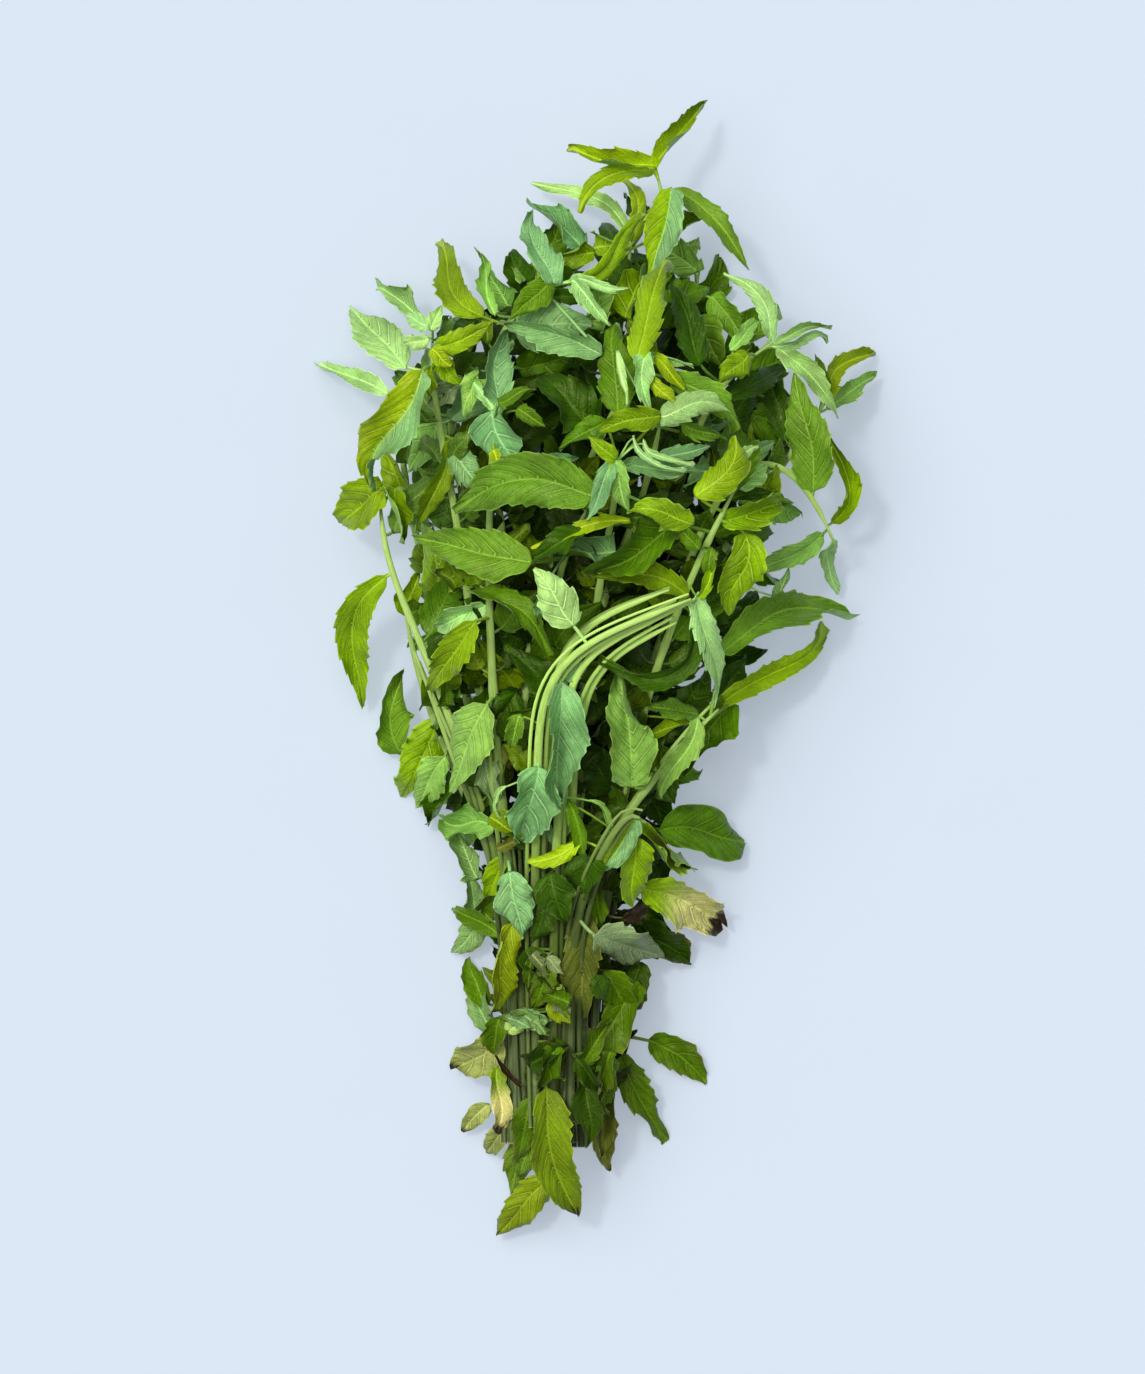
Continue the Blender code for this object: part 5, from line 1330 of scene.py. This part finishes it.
class Shader:
    """A material's nodes, with one short call for each kind of node."""

    def __init__(self, name):
        self.material = bpy.data.materials.new(name)
        self.material.use_nodes = True
        self.nodes = self.material.node_tree.nodes
        self.links = self.material.node_tree.links
        self.principled = self.nodes["Principled BSDF"]

    def set(self, socket, value):
        """Links a node's output to a socket, or writes a number or colour there."""
        if isinstance(value, bpy.types.NodeSocket):
            self.links.new(value, socket)
        elif value is not None:
            socket.default_value = value

    def math(self, operation, a, b=None):
        """One sum, product or other step of arithmetic."""
        node = self.nodes.new("ShaderNodeMath")
        node.operation = operation
        for socket, value in zip(node.inputs, (a, b)):
            self.set(socket, value)
        return node.outputs[0]

    def mix(self, factor, a, b, blend="MIX"):
        """Colour a with b laid over it by the factor."""
        node = self.nodes.new("ShaderNodeMix")
        node.data_type = "RGBA"
        node.blend_type = blend
        for socket, value in zip((node.inputs[0], node.inputs[6], node.inputs[7]), (factor, a, b)):
            plain = isinstance(value, tuple) and len(value) == 3
            self.set(socket, (*value, 1.0) if plain else value)
        return node.outputs[2]

    def ease(self, value, low, high, start=0.0, end=1.0):
        """start below low, end above high, and a smooth S between them."""
        node = self.nodes.new("ShaderNodeMapRange")
        node.interpolation_type = "SMOOTHSTEP"
        for socket, number in zip(node.inputs, (value, low, high, start, end)):
            self.set(socket, number)
        return node.outputs[0]

    def scaled(self, vector, scale):
        """A vector stretched by its own share along each direction."""
        node = self.nodes.new("ShaderNodeVectorMath")
        node.operation = "MULTIPLY"
        self.set(node.inputs[0], vector)
        self.set(node.inputs[1], scale)
        return node.outputs[0]

    def noise(self, vector, scale, detail=2.0):
        """Soft random patches, smaller with a larger scale."""
        node = self.nodes.new("ShaderNodeTexNoise")
        for name, value in (("Vector", vector), ("Scale", scale), ("Detail", detail)):
            self.set(node.inputs[name], value)
        return node.outputs["Fac"]

    def cells(self, vector, scale):
        """How far each point is from the net of lines between random cells."""
        node = self.nodes.new("ShaderNodeTexVoronoi")
        node.feature = "DISTANCE_TO_EDGE"
        self.set(node.inputs["Vector"], vector)
        self.set(node.inputs["Scale"], scale)
        return node.outputs["Distance"]

    def place(self):
        """Where each point is in the piece's own space."""
        return self.nodes.new("ShaderNodeTexCoord").outputs["Object"]

    def attribute(self, name, output="Vector"):
        """A value that the mesh carries at its points."""
        node = self.nodes.new("ShaderNodeAttribute")
        node.attribute_name = name
        return node.outputs[output]

    def parts(self, vector):
        """The three numbers of a vector."""
        node = self.nodes.new("ShaderNodeSeparateXYZ")
        self.set(node.inputs[0], vector)
        return node.outputs

    def bump(self, height, strength, distance):
        """Raises the surface by a height, for the light only."""
        node = self.nodes.new("ShaderNodeBump")
        for name, value in (("Height", height), ("Strength", strength), ("Distance", distance)):
            self.set(node.inputs[name], value)
        self.set(self.principled.inputs["Normal"], node.outputs[0])


# The leaf's look. A grain is a noise's scale and detail. A range says where an ease starts and ends
# on the value that it reads, and what it gives there
BROAD_GRAIN = (85.0, 3.0)
BROAD_RANGE = (0.3, 0.7, 0.72, 1.26)
FINE_GRAIN = (900.0, 2.0)
FINE_RANGE = (0.3, 0.7, 0.9, 1.1)
SIDE_VEIN_RANGE = (0.015, 0.095, 1.0, 0.0)
# Painted shade in the grooves beside the side veins, and painted light on the swells between them
GROOVE_SHADE_RANGE = (0.08, 0.28, 0.68, 1.07)
VEIN_END_RANGE = (0.35, 0.98, 1.0, 0.25)
MIDRIB_RANGE = (0.1, 0.34, 1.0, 0.0)
NET_SCALE = 0.75
NET_RANGE = (0.02, 0.14, 1.0, 0.0)
VEIN_SHARE = 0.8
NET_SHARE = 0.08
VEIN_LIGHT = (1.95, 1.7, 2.2)
VEIN_TINT_RANGE = (0.1, 0.35, 0.0, 0.14)
# The margins' lightening: partly their own paler edge, partly a painted highlight along the rim
RIM_HIGHLIGHT_RANGE = (0.92, 1.0, 0.0, 0.75)
SPECK_RANGE = (0.58, 0.64)
BLOTCH_GRAIN = (140.0, 2.0)
BLOTCH_RANGE = (0.45, 0.6)
STREAK_STRETCH = (0.5, 1.6, 0.0)
STREAK_GRAIN = (1.0, 3.0)
STREAK_RANGE = (0.5, 0.6)
STREAK_WILT_RANGE = (0.35, 0.75)
GLOSS_GRAIN = (260.0, 2.0)
GLOSS_RANGE = (0.3, 0.7, 0.3, 0.46)
SPECULAR_TINT = (1.0, 1.0, 0.55, 1.0)
BUMP_DEPTH = 0.0004


def leaf_material(colours):
    """A leaf: pale veins and a fine net between them over its own colour, a soft sheen of hairs,
    painted shade in the grooves beside the veins and a painted highlight along its margins.
    """
    shader = Shader("mint_leaf")
    place = shader.place()
    blade = shader.attribute("blade")
    _, across, phase = shader.parts(blade)[:3]
    edge, _, wilt = shader.parts(shader.attribute("leaf_place"))[:3]
    tone = shader.attribute("tone", "Color")
    broad = shader.ease(shader.noise(place, *BROAD_GRAIN), *BROAD_RANGE)
    fine = shader.ease(shader.noise(place, *FINE_GRAIN), *FINE_RANGE)
    body = shader.mix(1.0, tone, shader.math("MULTIPLY", broad, fine), "MULTIPLY")
    side = shader.math("PINGPONG", phase, 0.5)
    side_vein = shader.ease(side, *SIDE_VEIN_RANGE)
    # Painted shade: darker in the grooves beside the side veins, a little lighter on the swells
    # between
    near = shader.ease(side, *GROOVE_SHADE_RANGE)
    body = shader.mix(1.0, body, near, "MULTIPLY")
    thin = shader.ease(edge, *VEIN_END_RANGE)
    midrib = shader.ease(shader.math("ABSOLUTE", across), *MIDRIB_RANGE)
    net = shader.ease(shader.cells(blade, NET_SCALE), *NET_RANGE)
    veins = shader.math("MAXIMUM", shader.math("MULTIPLY", side_vein, thin), midrib)
    veins = shader.math("MAXIMUM", shader.math("MULTIPLY", veins, VEIN_SHARE),
                        shader.math("MULTIPLY", net, NET_SHARE))
    vein = shader.mix(1.0, tone, VEIN_LIGHT, "MULTIPLY")
    tinted = shader.ease(shader.parts(tone)[1], *VEIN_TINT_RANGE)
    vein = shader.mix(tinted, vein, tuple(colours.vein))
    body = shader.mix(veins, body, vein)
    # Painted highlight along the rim, with the margin's own paler edge, towards the vein colour
    body = shader.mix(shader.ease(edge, *RIM_HIGHLIGHT_RANGE), body, vein)
    specks = shader.ease(shader.noise(place, *FINE_GRAIN), *SPECK_RANGE)
    streaks = shader.noise(shader.scaled(blade, STREAK_STRETCH), *STREAK_GRAIN)
    streaks = shader.math("MULTIPLY", shader.ease(streaks, *STREAK_RANGE),
                          shader.ease(wilt, *STREAK_WILT_RANGE))
    blotch = shader.ease(shader.noise(place, *BLOTCH_GRAIN), *BLOTCH_RANGE)
    spots = shader.math("MULTIPLY", specks, blotch)
    dried = shader.math("MULTIPLY", wilt, shader.math("MAXIMUM", spots, streaks))
    body = shader.mix(dried, body, tuple(colours.brown))
    shader.set(shader.principled.inputs["Base Color"], body)
    gloss = shader.ease(shader.noise(place, *GLOSS_GRAIN), *GLOSS_RANGE)
    shader.set(shader.principled.inputs["Roughness"], gloss)
    shader.principled.inputs["Specular IOR Level"].default_value = 0.22
    shader.principled.inputs["Specular Tint"].default_value = SPECULAR_TINT
    shader.principled.inputs["Sheen Weight"].default_value = 0.03
    shader.principled.inputs["Sheen Roughness"].default_value = 0.4
    height = shader.math("SUBTRACT", shader.math("MULTIPLY", fine, 0.5),
                         shader.math("MULTIPLY", net, 0.6))
    shader.bump(height, 0.35, BUMP_DEPTH)
    return shader.material


# The stem's look, in the same terms, along the stem in millimetres and round it
STEM_STRETCH = (0.25, 22.0, 1.0)
STEM_STREAK_RANGE = (0.25, 0.75, 0.78, 1.2)
STEM_SPOT_GRAIN = (220.0, 3.0)
STEM_SPOT_RANGE = (0.62, 0.75, 0.0, 0.35)
CUT_RANGE = (0.0, 0.5, 0.85, 0.0)
STEM_GLOSS_RANGE = (0.3, 0.7, 0.38, 0.52)


def stem_material(colours):
    """A stem: fresh green with paler ridges and fine streaks along it, browner in the tied end."""
    shader = Shader("mint_stem")
    place = shader.place()
    run = shader.attribute("stem_run")
    along, _, age = shader.parts(run)[:3]
    streaks = shader.noise(shader.scaled(run, STEM_STRETCH), *STREAK_GRAIN)
    tint = shader.parts(shader.attribute("stem_tint"))[0]
    body = shader.mix(age, tuple(colours.fresh), tuple(colours.old))
    body = shader.mix(1.0, body, tint, "MULTIPLY")
    body = shader.mix(1.0, body, shader.ease(streaks, *STEM_STREAK_RANGE), "MULTIPLY")
    spots = shader.ease(shader.noise(place, *STEM_SPOT_GRAIN), *STEM_SPOT_RANGE)
    body = shader.mix(shader.math("MULTIPLY", spots, age), body, tuple(colours.cut))
    body = shader.mix(shader.ease(along, *CUT_RANGE), body, tuple(colours.cut))
    shader.set(shader.principled.inputs["Base Color"], body)
    shader.set(shader.principled.inputs["Roughness"], shader.ease(streaks, *STEM_GLOSS_RANGE))
    shader.principled.inputs["Specular IOR Level"].default_value = 0.45
    shader.principled.inputs["Sheen Weight"].default_value = 0.15
    shader.bump(streaks, 0.3, BUMP_DEPTH)
    return shader.material


# The table's unevenness, in the same terms
TABLE_GRAIN = (30.0, 3.0)
TABLE_RANGE = (0.3, 0.7, 0.995, 1.005)


def table_material(colour, glow):
    """The table: one pale colour, slightly uneven and without gloss, that glows a little."""
    shader = Shader("pale_table")
    grain = shader.ease(shader.noise(shader.place(), *TABLE_GRAIN), *TABLE_RANGE)
    shader.set(shader.principled.inputs["Base Color"],
               shader.mix(1.0, tuple(value * (1 - glow) for value in colour), grain, "MULTIPLY"))
    shader.principled.inputs["Emission Color"].default_value = (*colour, 1.0)
    shader.principled.inputs["Emission Strength"].default_value = glow
    shader.principled.inputs["Roughness"].default_value = 0.9
    shader.principled.inputs["Specular IOR Level"].default_value = 0.1
    return shader.material


# How far each leaf is lighter or darker on its two faces, and yellower or bluer, than its tone
TOP_LIGHT = (0.86, 1.14)
UNDER_LIGHT = (0.9, 1.1)
WARMTH = (-0.06, 0.06)

# The leaves that fill the bunch get painted shade, less at the sides and the crown, and painted
# sunlight at the upper left
INNER_SHADE = 0.4
SIDE_SHADE = 0.7
OUTER_LIGHT = 0.35
OUTER_X = (25.0, 45.0)
CROWN_LIGHT = 1.1
CROWN_Y = (75.0, 115.0)
SUNNY = 0.6
SUNNY_Y = (20.0, 60.0)

# Red, green and blue that the leaves have lost at the cut end, and where that starts
AGED = (0.04, 0.16, 0.3)
AGED_Y = (-80.0, -45.0)

# Along a leaf: how light its base is and what its blade loses, how far a cream leaf is still fresh,
# and from where a leaf is dry, scorched at its tip or old at its margins
BASE_LIGHT = 1.1
BLADE_LOSS = 0.16
FRESH_BASE = (0.15, 0.55)
DRY_FROM = {"yellow": 0.3}
USUAL_DRY_FROM = 0.55
SCORCH_FROM = {"cream": 0.8}
USUAL_SCORCH_FROM = 0.9
SCORCH = (0.0, 0.3)
OLD_MARGIN = (0.0, 0.8)
# How soft the edge of a split leaf's painted reflection is, across the midrib
SPLIT_EDGE = 0.03

# How a leaf's two faces and its drying follow from its tone: upper, under, and how dry
TONES = {
    "lime": ("lime", "light", 0.0),
    "olive": ("olive", "light", 0.0),
    "green": ("green", "blue", 0.0),
    "dark": ("dark", "green", 0.0),
    "mid": ("mid", "light", 0.0),
    "light": ("light", "light", 0.0),
    "blue": ("blue", "mid", 0.0),
    "pale": ("pale", "pale", 0.0),
    "grey": ("grey", "green", 0.0),
    "dull": ("dull", "dull", 0.3),
    "yellow": ("yellow", "yellow", 0.2),
    "wilted": ("wilted", "grey", 0.7),
    "cream": ("cream", "cream", 1.0),
    "ending": ("old", "old", 0.3),
    "dead": ("brown", "brown", 0.3),
    "smooth": ("green", "blue", 0.0),
    # The split tones give one half the underside's blue-green as a painted reflection of the sky
    "split": ("olive", "blue", 0.0),
    "split_lime": ("lime", "blue", 0.0),
}


def leaf_tones(leaf, values, length, colours):
    """Colour of each point of a leaf, and how dry it is.

    Each leaf is a little lighter or darker, and yellower or bluer, than its tone. The leaves that
    fill the bunch carry painted shade, with painted sunlight at the upper left. A leaf is paler
    towards its base, a split leaf has the underside's blue-green on one half as a painted
    reflection of the sky, and a dry leaf is brown at its tip.
    """
    rng = np.random.default_rng(SEED * TONE_SEEDS + leaf.index)
    upper, under, dryness = TONES[leaf.tone]
    top = np.array(getattr(colours, upper)) * rng.uniform(*TOP_LIGHT)
    low = np.array(getattr(colours, under)) * rng.uniform(*UNDER_LIGHT)
    warm = rng.uniform(*WARMTH)
    root_y = leaf.spine[0][1]
    shade = 1.0
    inner = leaf.index >= FIRST_INNER
    # Painted shade on the leaves that fill the bunch, and painted sunlight at the upper left
    if inner or FIRST_PAIR <= leaf.index < FIRST_SMALL:
        x, y, _ = leaf.spine[-1]
        deep = INNER_SHADE if inner else SIDE_SHADE
        deep += OUTER_LIGHT * ease(abs(x), *OUTER_X)
        shade = deep + (CROWN_LIGHT - deep) * ease(root_y, *CROWN_Y)
        sunny = SUNNY * ease(-x, *OUTER_X) * ease(y, *SUNNY_Y)
        top = blended(top, np.array(colours.light), sunny)
    shift = np.array((1 + warm, 1.0, 1 - warm)) * shade
    aged = 0.0 if dryness else 1 - ease(root_y, *AGED_Y)
    shift *= 1 - np.array(AGED) * aged
    u = values[:, 0:1] / length
    across = values[:, 3:4]
    share = values[:, 4:5]
    # Painted reflection: one half of a split leaf takes the underside's blue-green
    if leaf.tone.startswith("split"):
        share = np.maximum(share, ease(-across, -SPLIT_EDGE, SPLIT_EDGE))
    colour = blended(top, low, share) * shift
    if leaf.tone == "cream":
        colour = blended(colour, np.array(colours.olive), 1 - ease(u, *FRESH_BASE))
    colour = colour * (BASE_LIGHT - BLADE_LOSS * ease(u, 0.0, 0.5))
    start = DRY_FROM.get(leaf.tone, USUAL_DRY_FROM)
    dry = dryness * ease(u + 0.15 * np.abs(across), start, start + 0.5)
    scorch = 1.0 if dryness else rng.uniform(*SCORCH) * (leaf.index < FIRST_PAIR)
    start = SCORCH_FROM.get(leaf.tone, USUAL_SCORCH_FROM)
    burnt = ease(u + 0.03 * np.sin(9 * across), start, start + 0.07) * scorch
    rim = aged * rng.uniform(*OLD_MARGIN) * ease(np.abs(across), 0.7, 1.0) * ease(u, 0.2, 0.8)
    colour = blended(colour, np.array(colours.margin), rim)
    colour = blended(colour, np.array(colours.brown), burnt)
    return np.clip(colour, 0, 1), dry[:, 0]


# How far apart two leaves' patterns are, by their index, and where they start again
PATTERN_STEP = 7.31
PATTERN_SPAN = 50

# A stalk's colour: its share of the leaf's own and of the veins'
STALK_TONE = 0.95
STALK_VEIN = 0.08


def new_piece(name, points, faces, values, sharp, material):
    """A mesh of the plan's points in metres, with its named values, riding on the bunch.

    The edges that join two of its sharp points are sharp ones.
    """
    mesh = bpy.data.meshes.new(name)
    mesh.from_pydata((points - np.array((*CENTRE, 0.0))) * MM, [], faces)
    mesh.polygons.foreach_set("use_smooth", np.ones(len(faces), dtype=bool))
    for label, (kind, data) in values.items():
        layer = mesh.attributes.new(label, kind, "POINT")
        field = "color" if kind == "FLOAT_COLOR" else "vector"
        layer.data.foreach_set(field, np.ascontiguousarray(data, dtype=np.float32).ravel())
    mesh.update(calc_edges=True)
    ends = np.empty(2 * len(mesh.edges), dtype=np.int32)
    mesh.edges.foreach_get("vertices", ends)
    edges = mesh.attributes.new("sharp_edge", "BOOLEAN", "EDGE")
    edges.data.foreach_set("value", sharp[ends.reshape(-1, 2)].all(axis=1))
    mesh.materials.append(material)
    piece = bpy.data.objects.new(name, mesh)
    bpy.context.scene.collection.objects.link(piece)
    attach(piece, "root")
    return piece


def joined(parts):
    """Several meshes' points, faces and values as one."""
    offsets = np.concatenate(((0,), np.cumsum([len(part[0]) for part in parts])[:-1]))
    points = np.vstack([part[0] for part in parts])
    faces = np.vstack([part[1] + offset for part, offset in zip(parts, offsets)])
    return (points, faces, *(np.concatenate([part[k] for part in parts])
                             for k in range(2, len(parts[0]))))


def leaf_parts(leaf, colours):
    """One leaf and its stalk: points, faces, tones, blade values and leaf_place values."""
    points, faces, values, length = fine_blade(leaf)
    tones, dry = leaf_tones(leaf, values, length, colours)
    columns = GRADES[grade_of(leaf)][0]
    rows = (len(points) - 2) // (2 * columns)
    pattern = (leaf.index * PATTERN_STEP) % PATTERN_SPAN
    blade = values[:, :3] + np.array((pattern, 0.0, 0.0))
    place = np.stack((np.abs(values[:, 3]), values[:, 4], dry), axis=-1)
    stalk, stalk_faces = leaf_stalk(leaf, points, rows, columns)
    count = len(stalk)
    rib = np.tile(tones[0] * STALK_TONE + np.array(colours.vein) * STALK_VEIN, (count, 1))
    stalk_blade = np.tile((pattern, 2.0, 0.5), (count, 1))
    stalk_place = np.zeros((count, 3))
    return joined(((points, faces, tones, blade, place),
                   (stalk, stalk_faces, rib, stalk_blade, stalk_place)))


def add_leaves(name, leaves, colours, material, node):
    """One piece of several leaves, which takes the place of a solid."""
    points, faces, tones, blade, place = joined([leaf_parts(leaf, colours) for leaf in leaves])
    colour = np.column_stack((tones, np.ones(len(tones))))
    piece = new_piece(name, points, faces, {
        "tone": ("FLOAT_COLOR", colour), "blade": ("FLOAT_VECTOR", blade),
        "leaf_place": ("FLOAT_VECTOR", place)}, place[:, 0] > RIM, material)
    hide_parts(node)


@lru_cache(maxsize=None)
def bunch():
    """The plan of the whole bunch, worked out once."""
    return plan_bunch()


# The fine stems: size between the joints, swell of a joint and its width as a share of the spacing,
# what a tip loses and from where, height of the four ridges, where along Y they are old, and tint,
# and the painted light on the bent stems that lie on top of the pile
BETWEEN_JOINTS = 0.9
JOINT_SWELL = 0.16
JOINT_WIDTH = 0.06
TIP_LOSS = 0.6
TIP_FROM = (0.93, 1.0)
STEM_RIDGE = 0.09
OLD_Y = (-75.0, -15.0)
OLD_SHARE = (0.85, 1.0)
STEM_TINT = (0.85, 1.1)
BENT_LIGHT = 1.4

# The shoots beside a stem: radius, points round, tint, height along Y that they reach beside a bent
# stem and beside another, how far off they run, how they sway round it, and what a tip loses
SHOOT_RADIUS = (0.6, 0.95)
SHOOT_SIDES = 8
SHOOT_TINT = (0.5, 1.15)
BENT_SHOOT_Y = 60.0
SHOOT_Y = (-45.0, 10.0)
SHOOT_AWAY = (1.0, 1.25)
SHOOT_SWAY = 0.9
SHOOT_SWAYS = (3, 7)
SHOOT_TIP_LOSS = 0.45
SHOOT_POINTS = 6


def stem_skin(line, radii, sides, age, tint):
    """A stem's points, triangles and values: its length run, place round it, age and tint."""
    along = distances(line)
    points, faces = round_tube(line, radii, sides, STEM_RIDGE)
    run = np.stack((np.repeat(along, sides), np.tile(np.arange(sides) / sides, len(line)),
                    np.repeat(age, sides)), axis=-1)
    run = np.vstack(((0.0, 0.5, age[0]), (along[-1], 0.5, age[-1]), run))
    return points, faces, run, np.full((len(run), 3), tint)


def side_shoot(line, radius, rng, last_y):
    """A thin shoot that runs beside a stem, swaying round it, up to the height last_y."""
    count = max(SHOOT_POINTS, int(np.searchsorted(line[:, 1], last_y)))
    line = line[:count]
    _, side, up = directions(line)
    angle = rng.uniform(0, 2 * math.pi)
    angle = angle + SHOOT_SWAY * np.sin(np.linspace(0, rng.uniform(*SHOOT_SWAYS), count))
    away = (STEM_RADIUS * BETWEEN_JOINTS + radius) * rng.uniform(*SHOOT_AWAY)
    shoot = line + away * (side * np.cos(angle)[:, None] + up * np.sin(angle)[:, None])
    radii = radius * (1 - SHOOT_TIP_LOSS * np.linspace(0, 1, count) ** 3)
    shoot[:, 2] = np.maximum(shoot[:, 2], radii)
    return shoot, radii


class MINT_OT_add_stems(bpy.types.Operator):
    """Adds the stems: long rounded squares, thicker at each joint and slimmer towards the tip"""

    bl_idname = "mint.add_stems"
    bl_label = "Add Stems"

    def execute(self, context):
        size = context.scene.mint_size
        material = stem_material(context.scene.mint_stem_colours)
        lines, _ = bunch()
        for k, line in enumerate(lines):
            name = STEMS[k][0]
            bent = "bent" in name
            rng = np.random.default_rng(SEED * STEM_SEEDS + k)
            fine = even_steps(smooth_line(line, 3), size.stem_step / MM)
            along = np.linspace(0, 1, len(fine)) * len(fine) * size.stem_step
            joint = (along / size.joint_spacing + rng.uniform(0, 1)) % 1.0 - 0.5
            swell = JOINT_SWELL * np.exp(-(joint / JOINT_WIDTH) ** 2)
            radii = stem_radii(len(fine)) * (BETWEEN_JOINTS + swell)
            radii *= 1 - TIP_LOSS * ease(along / along[-1], *TIP_FROM)
            fine[:, 2] = np.maximum(fine[:, 2], radii * BETWEEN_JOINTS)
            age = 1 - ease(fine[:, 1], *OLD_Y) * rng.uniform(*OLD_SHARE)
            # Painted light: the bent stems on top of the pile and their shoots are lightened
            light = BENT_LIGHT if bent else 1.0
            tint = light * rng.uniform(*STEM_TINT)
            parts = [stem_skin(fine, radii, size.stem_sides, age, tint)]
            for _ in range(size.side_shoots):
                last_y = BENT_SHOOT_Y if bent else rng.uniform(*SHOOT_Y)
                shoot, thin = side_shoot(fine, rng.uniform(*SHOOT_RADIUS), rng, last_y)
                tint = light * rng.uniform(*SHOOT_TINT)
                parts.append(stem_skin(shoot, thin, SHOOT_SIDES, age[:len(shoot)], tint))
            points, faces, run, tint = joined(parts)
            values = {"stem_run": ("FLOAT_VECTOR", run), "stem_tint": ("FLOAT_VECTOR", tint)}
            piece = new_piece(f"{name}_fine", points, faces, values, run[:, 0] <= 0.0,
                              material)
            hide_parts(name)
        return {"FINISHED"}


class MINT_OT_add_leaves(bpy.types.Operator):
    """Adds each stem's leaves: toothed, folded along the midrib and quilted between the veins"""

    bl_idname = "mint.add_leaves"
    bl_label = "Add Leaves"

    def execute(self, context):
        colours = context.scene.mint_leaf_colours
        material = leaf_material(colours)
        _, plan = bunch()
        for k, (name, *_) in enumerate(STEMS):
            leaves = [leaf for leaf in plan if leaf.owner == k]
            if leaves:
                add_leaves(name.replace("stem", "leaves"), leaves, colours, material,
                           name)
        for name, *_ in LOOSE_LEAVES:
            leaves = [leaf for leaf in plan if leaf.owner == name]
            add_leaves(f"{name}_fine", leaves, colours, material, name)
        return {"FINISHED"}


class MINT_OT_add_stage(bpy.types.Operator):
    """Adds the table, the soft light from the upper left and the camera straight above"""

    bl_idname = "mint.add_stage"
    bl_label = "Add Table, Light and Camera"

    def execute(self, context):
        stage = context.scene.mint_stage
        scene = context.scene
        mesh = bpy.data.meshes.new("table")
        corners = np.array(((-1, -1, 0), (1, -1, 0), (1, 1, 0), (-1, 1, 0))) * TABLE_HALF
        mesh.from_pydata(corners - UP * TABLE_GAP, [], ((0, 1, 2, 3),))
        mesh.materials.append(table_material(stage.table, stage.glow))
        table = bpy.data.objects.new("table", mesh)
        scene.collection.objects.link(table)
        for name, energy, angle in (("window_light", stage.sun, stage.softness),
                                    ("lamp", stage.lamp, LAMP_ANGLE)):
            sun = bpy.data.lights.new(name, "SUN")
            sun.energy = energy
            sun.angle = angle
            sun.color = SUN_COLOUR
            light = bpy.data.objects.new(name, sun)
            light.rotation_euler = SUN_TURN
            scene.collection.objects.link(light)
        world = bpy.data.worlds.new("room")
        world.use_nodes = True
        background = world.node_tree.nodes["Background"]
        background.inputs["Color"].default_value = (*ROOM_COLOUR, 1.0)
        background.inputs["Strength"].default_value = stage.sky
        scene.world = world
        scene.view_settings.view_transform = "Standard"
        camera = bpy.data.cameras.new("camera")
        camera.sensor_width = SENSOR
        camera.lens = SENSOR * (stage.distance - FOCUS_HEIGHT * MM) / (PHOTO_HEIGHT * PIXEL * MM)
        camera.clip_end = CAMERA_REACH
        eye = bpy.data.objects.new("camera", camera)
        middle_x = (PHOTO_WIDTH / 2 - ORIGIN_PIXEL[0]) * PIXEL - CENTRE[0]
        middle_y = (ORIGIN_PIXEL[1] - PHOTO_HEIGHT / 2) * PIXEL - CENTRE[1]
        eye.location = (middle_x * MM, middle_y * MM, stage.distance)
        scene.collection.objects.link(eye)
        scene.camera = eye
        return {"FINISHED"}


class MINT_PT_panel(bpy.types.Panel):
    """Lists the bunch's sizes, colours and steps in the sidebar"""

    bl_idname = "MINT_PT_panel"
    bl_label = "Bunch of Mint"
    bl_space_type = "VIEW_3D"
    bl_region_type = "UI"
    bl_category = "Mint"

    def draw(self, context):
        layout = self.layout
        for name in ("mint_size", "mint_leaf_colours", "mint_stem_colours", "mint_stage"):
            group = getattr(context.scene, name)
            for field in group.__annotations__:
                layout.prop(group, field)
        for operator in OPERATORS:
            layout.operator(operator.bl_idname)


OPERATORS = (MINT_OT_add_stage, MINT_OT_add_stems, MINT_OT_add_leaves)
GROUPS = {"mint_size": MintSize, "mint_leaf_colours": MintLeafColours,
          "mint_stem_colours": MintStemColours, "mint_stage": MintStage}


def register():
    """Adds the sizes, colours, steps and panel to Blender."""
    for group in GROUPS.values():
        bpy.utils.register_class(group)
    for operator in OPERATORS:
        bpy.utils.register_class(operator)
    bpy.utils.register_class(MINT_PT_panel)
    for name, group in GROUPS.items():
        setattr(bpy.types.Scene, name, PointerProperty(type=group))


def unregister():
    """Takes them away again."""
    for name in GROUPS:
        delattr(bpy.types.Scene, name)
    for group in (MINT_PT_panel, *OPERATORS, *GROUPS.values()):
        bpy.utils.unregister_class(group)


def main():
    """Builds the whole scene."""
    register()
    bpy.ops.mint.add_stage()
    bpy.ops.mint.add_stems()
    bpy.ops.mint.add_leaves()


if __name__ == "__main__":
    main()
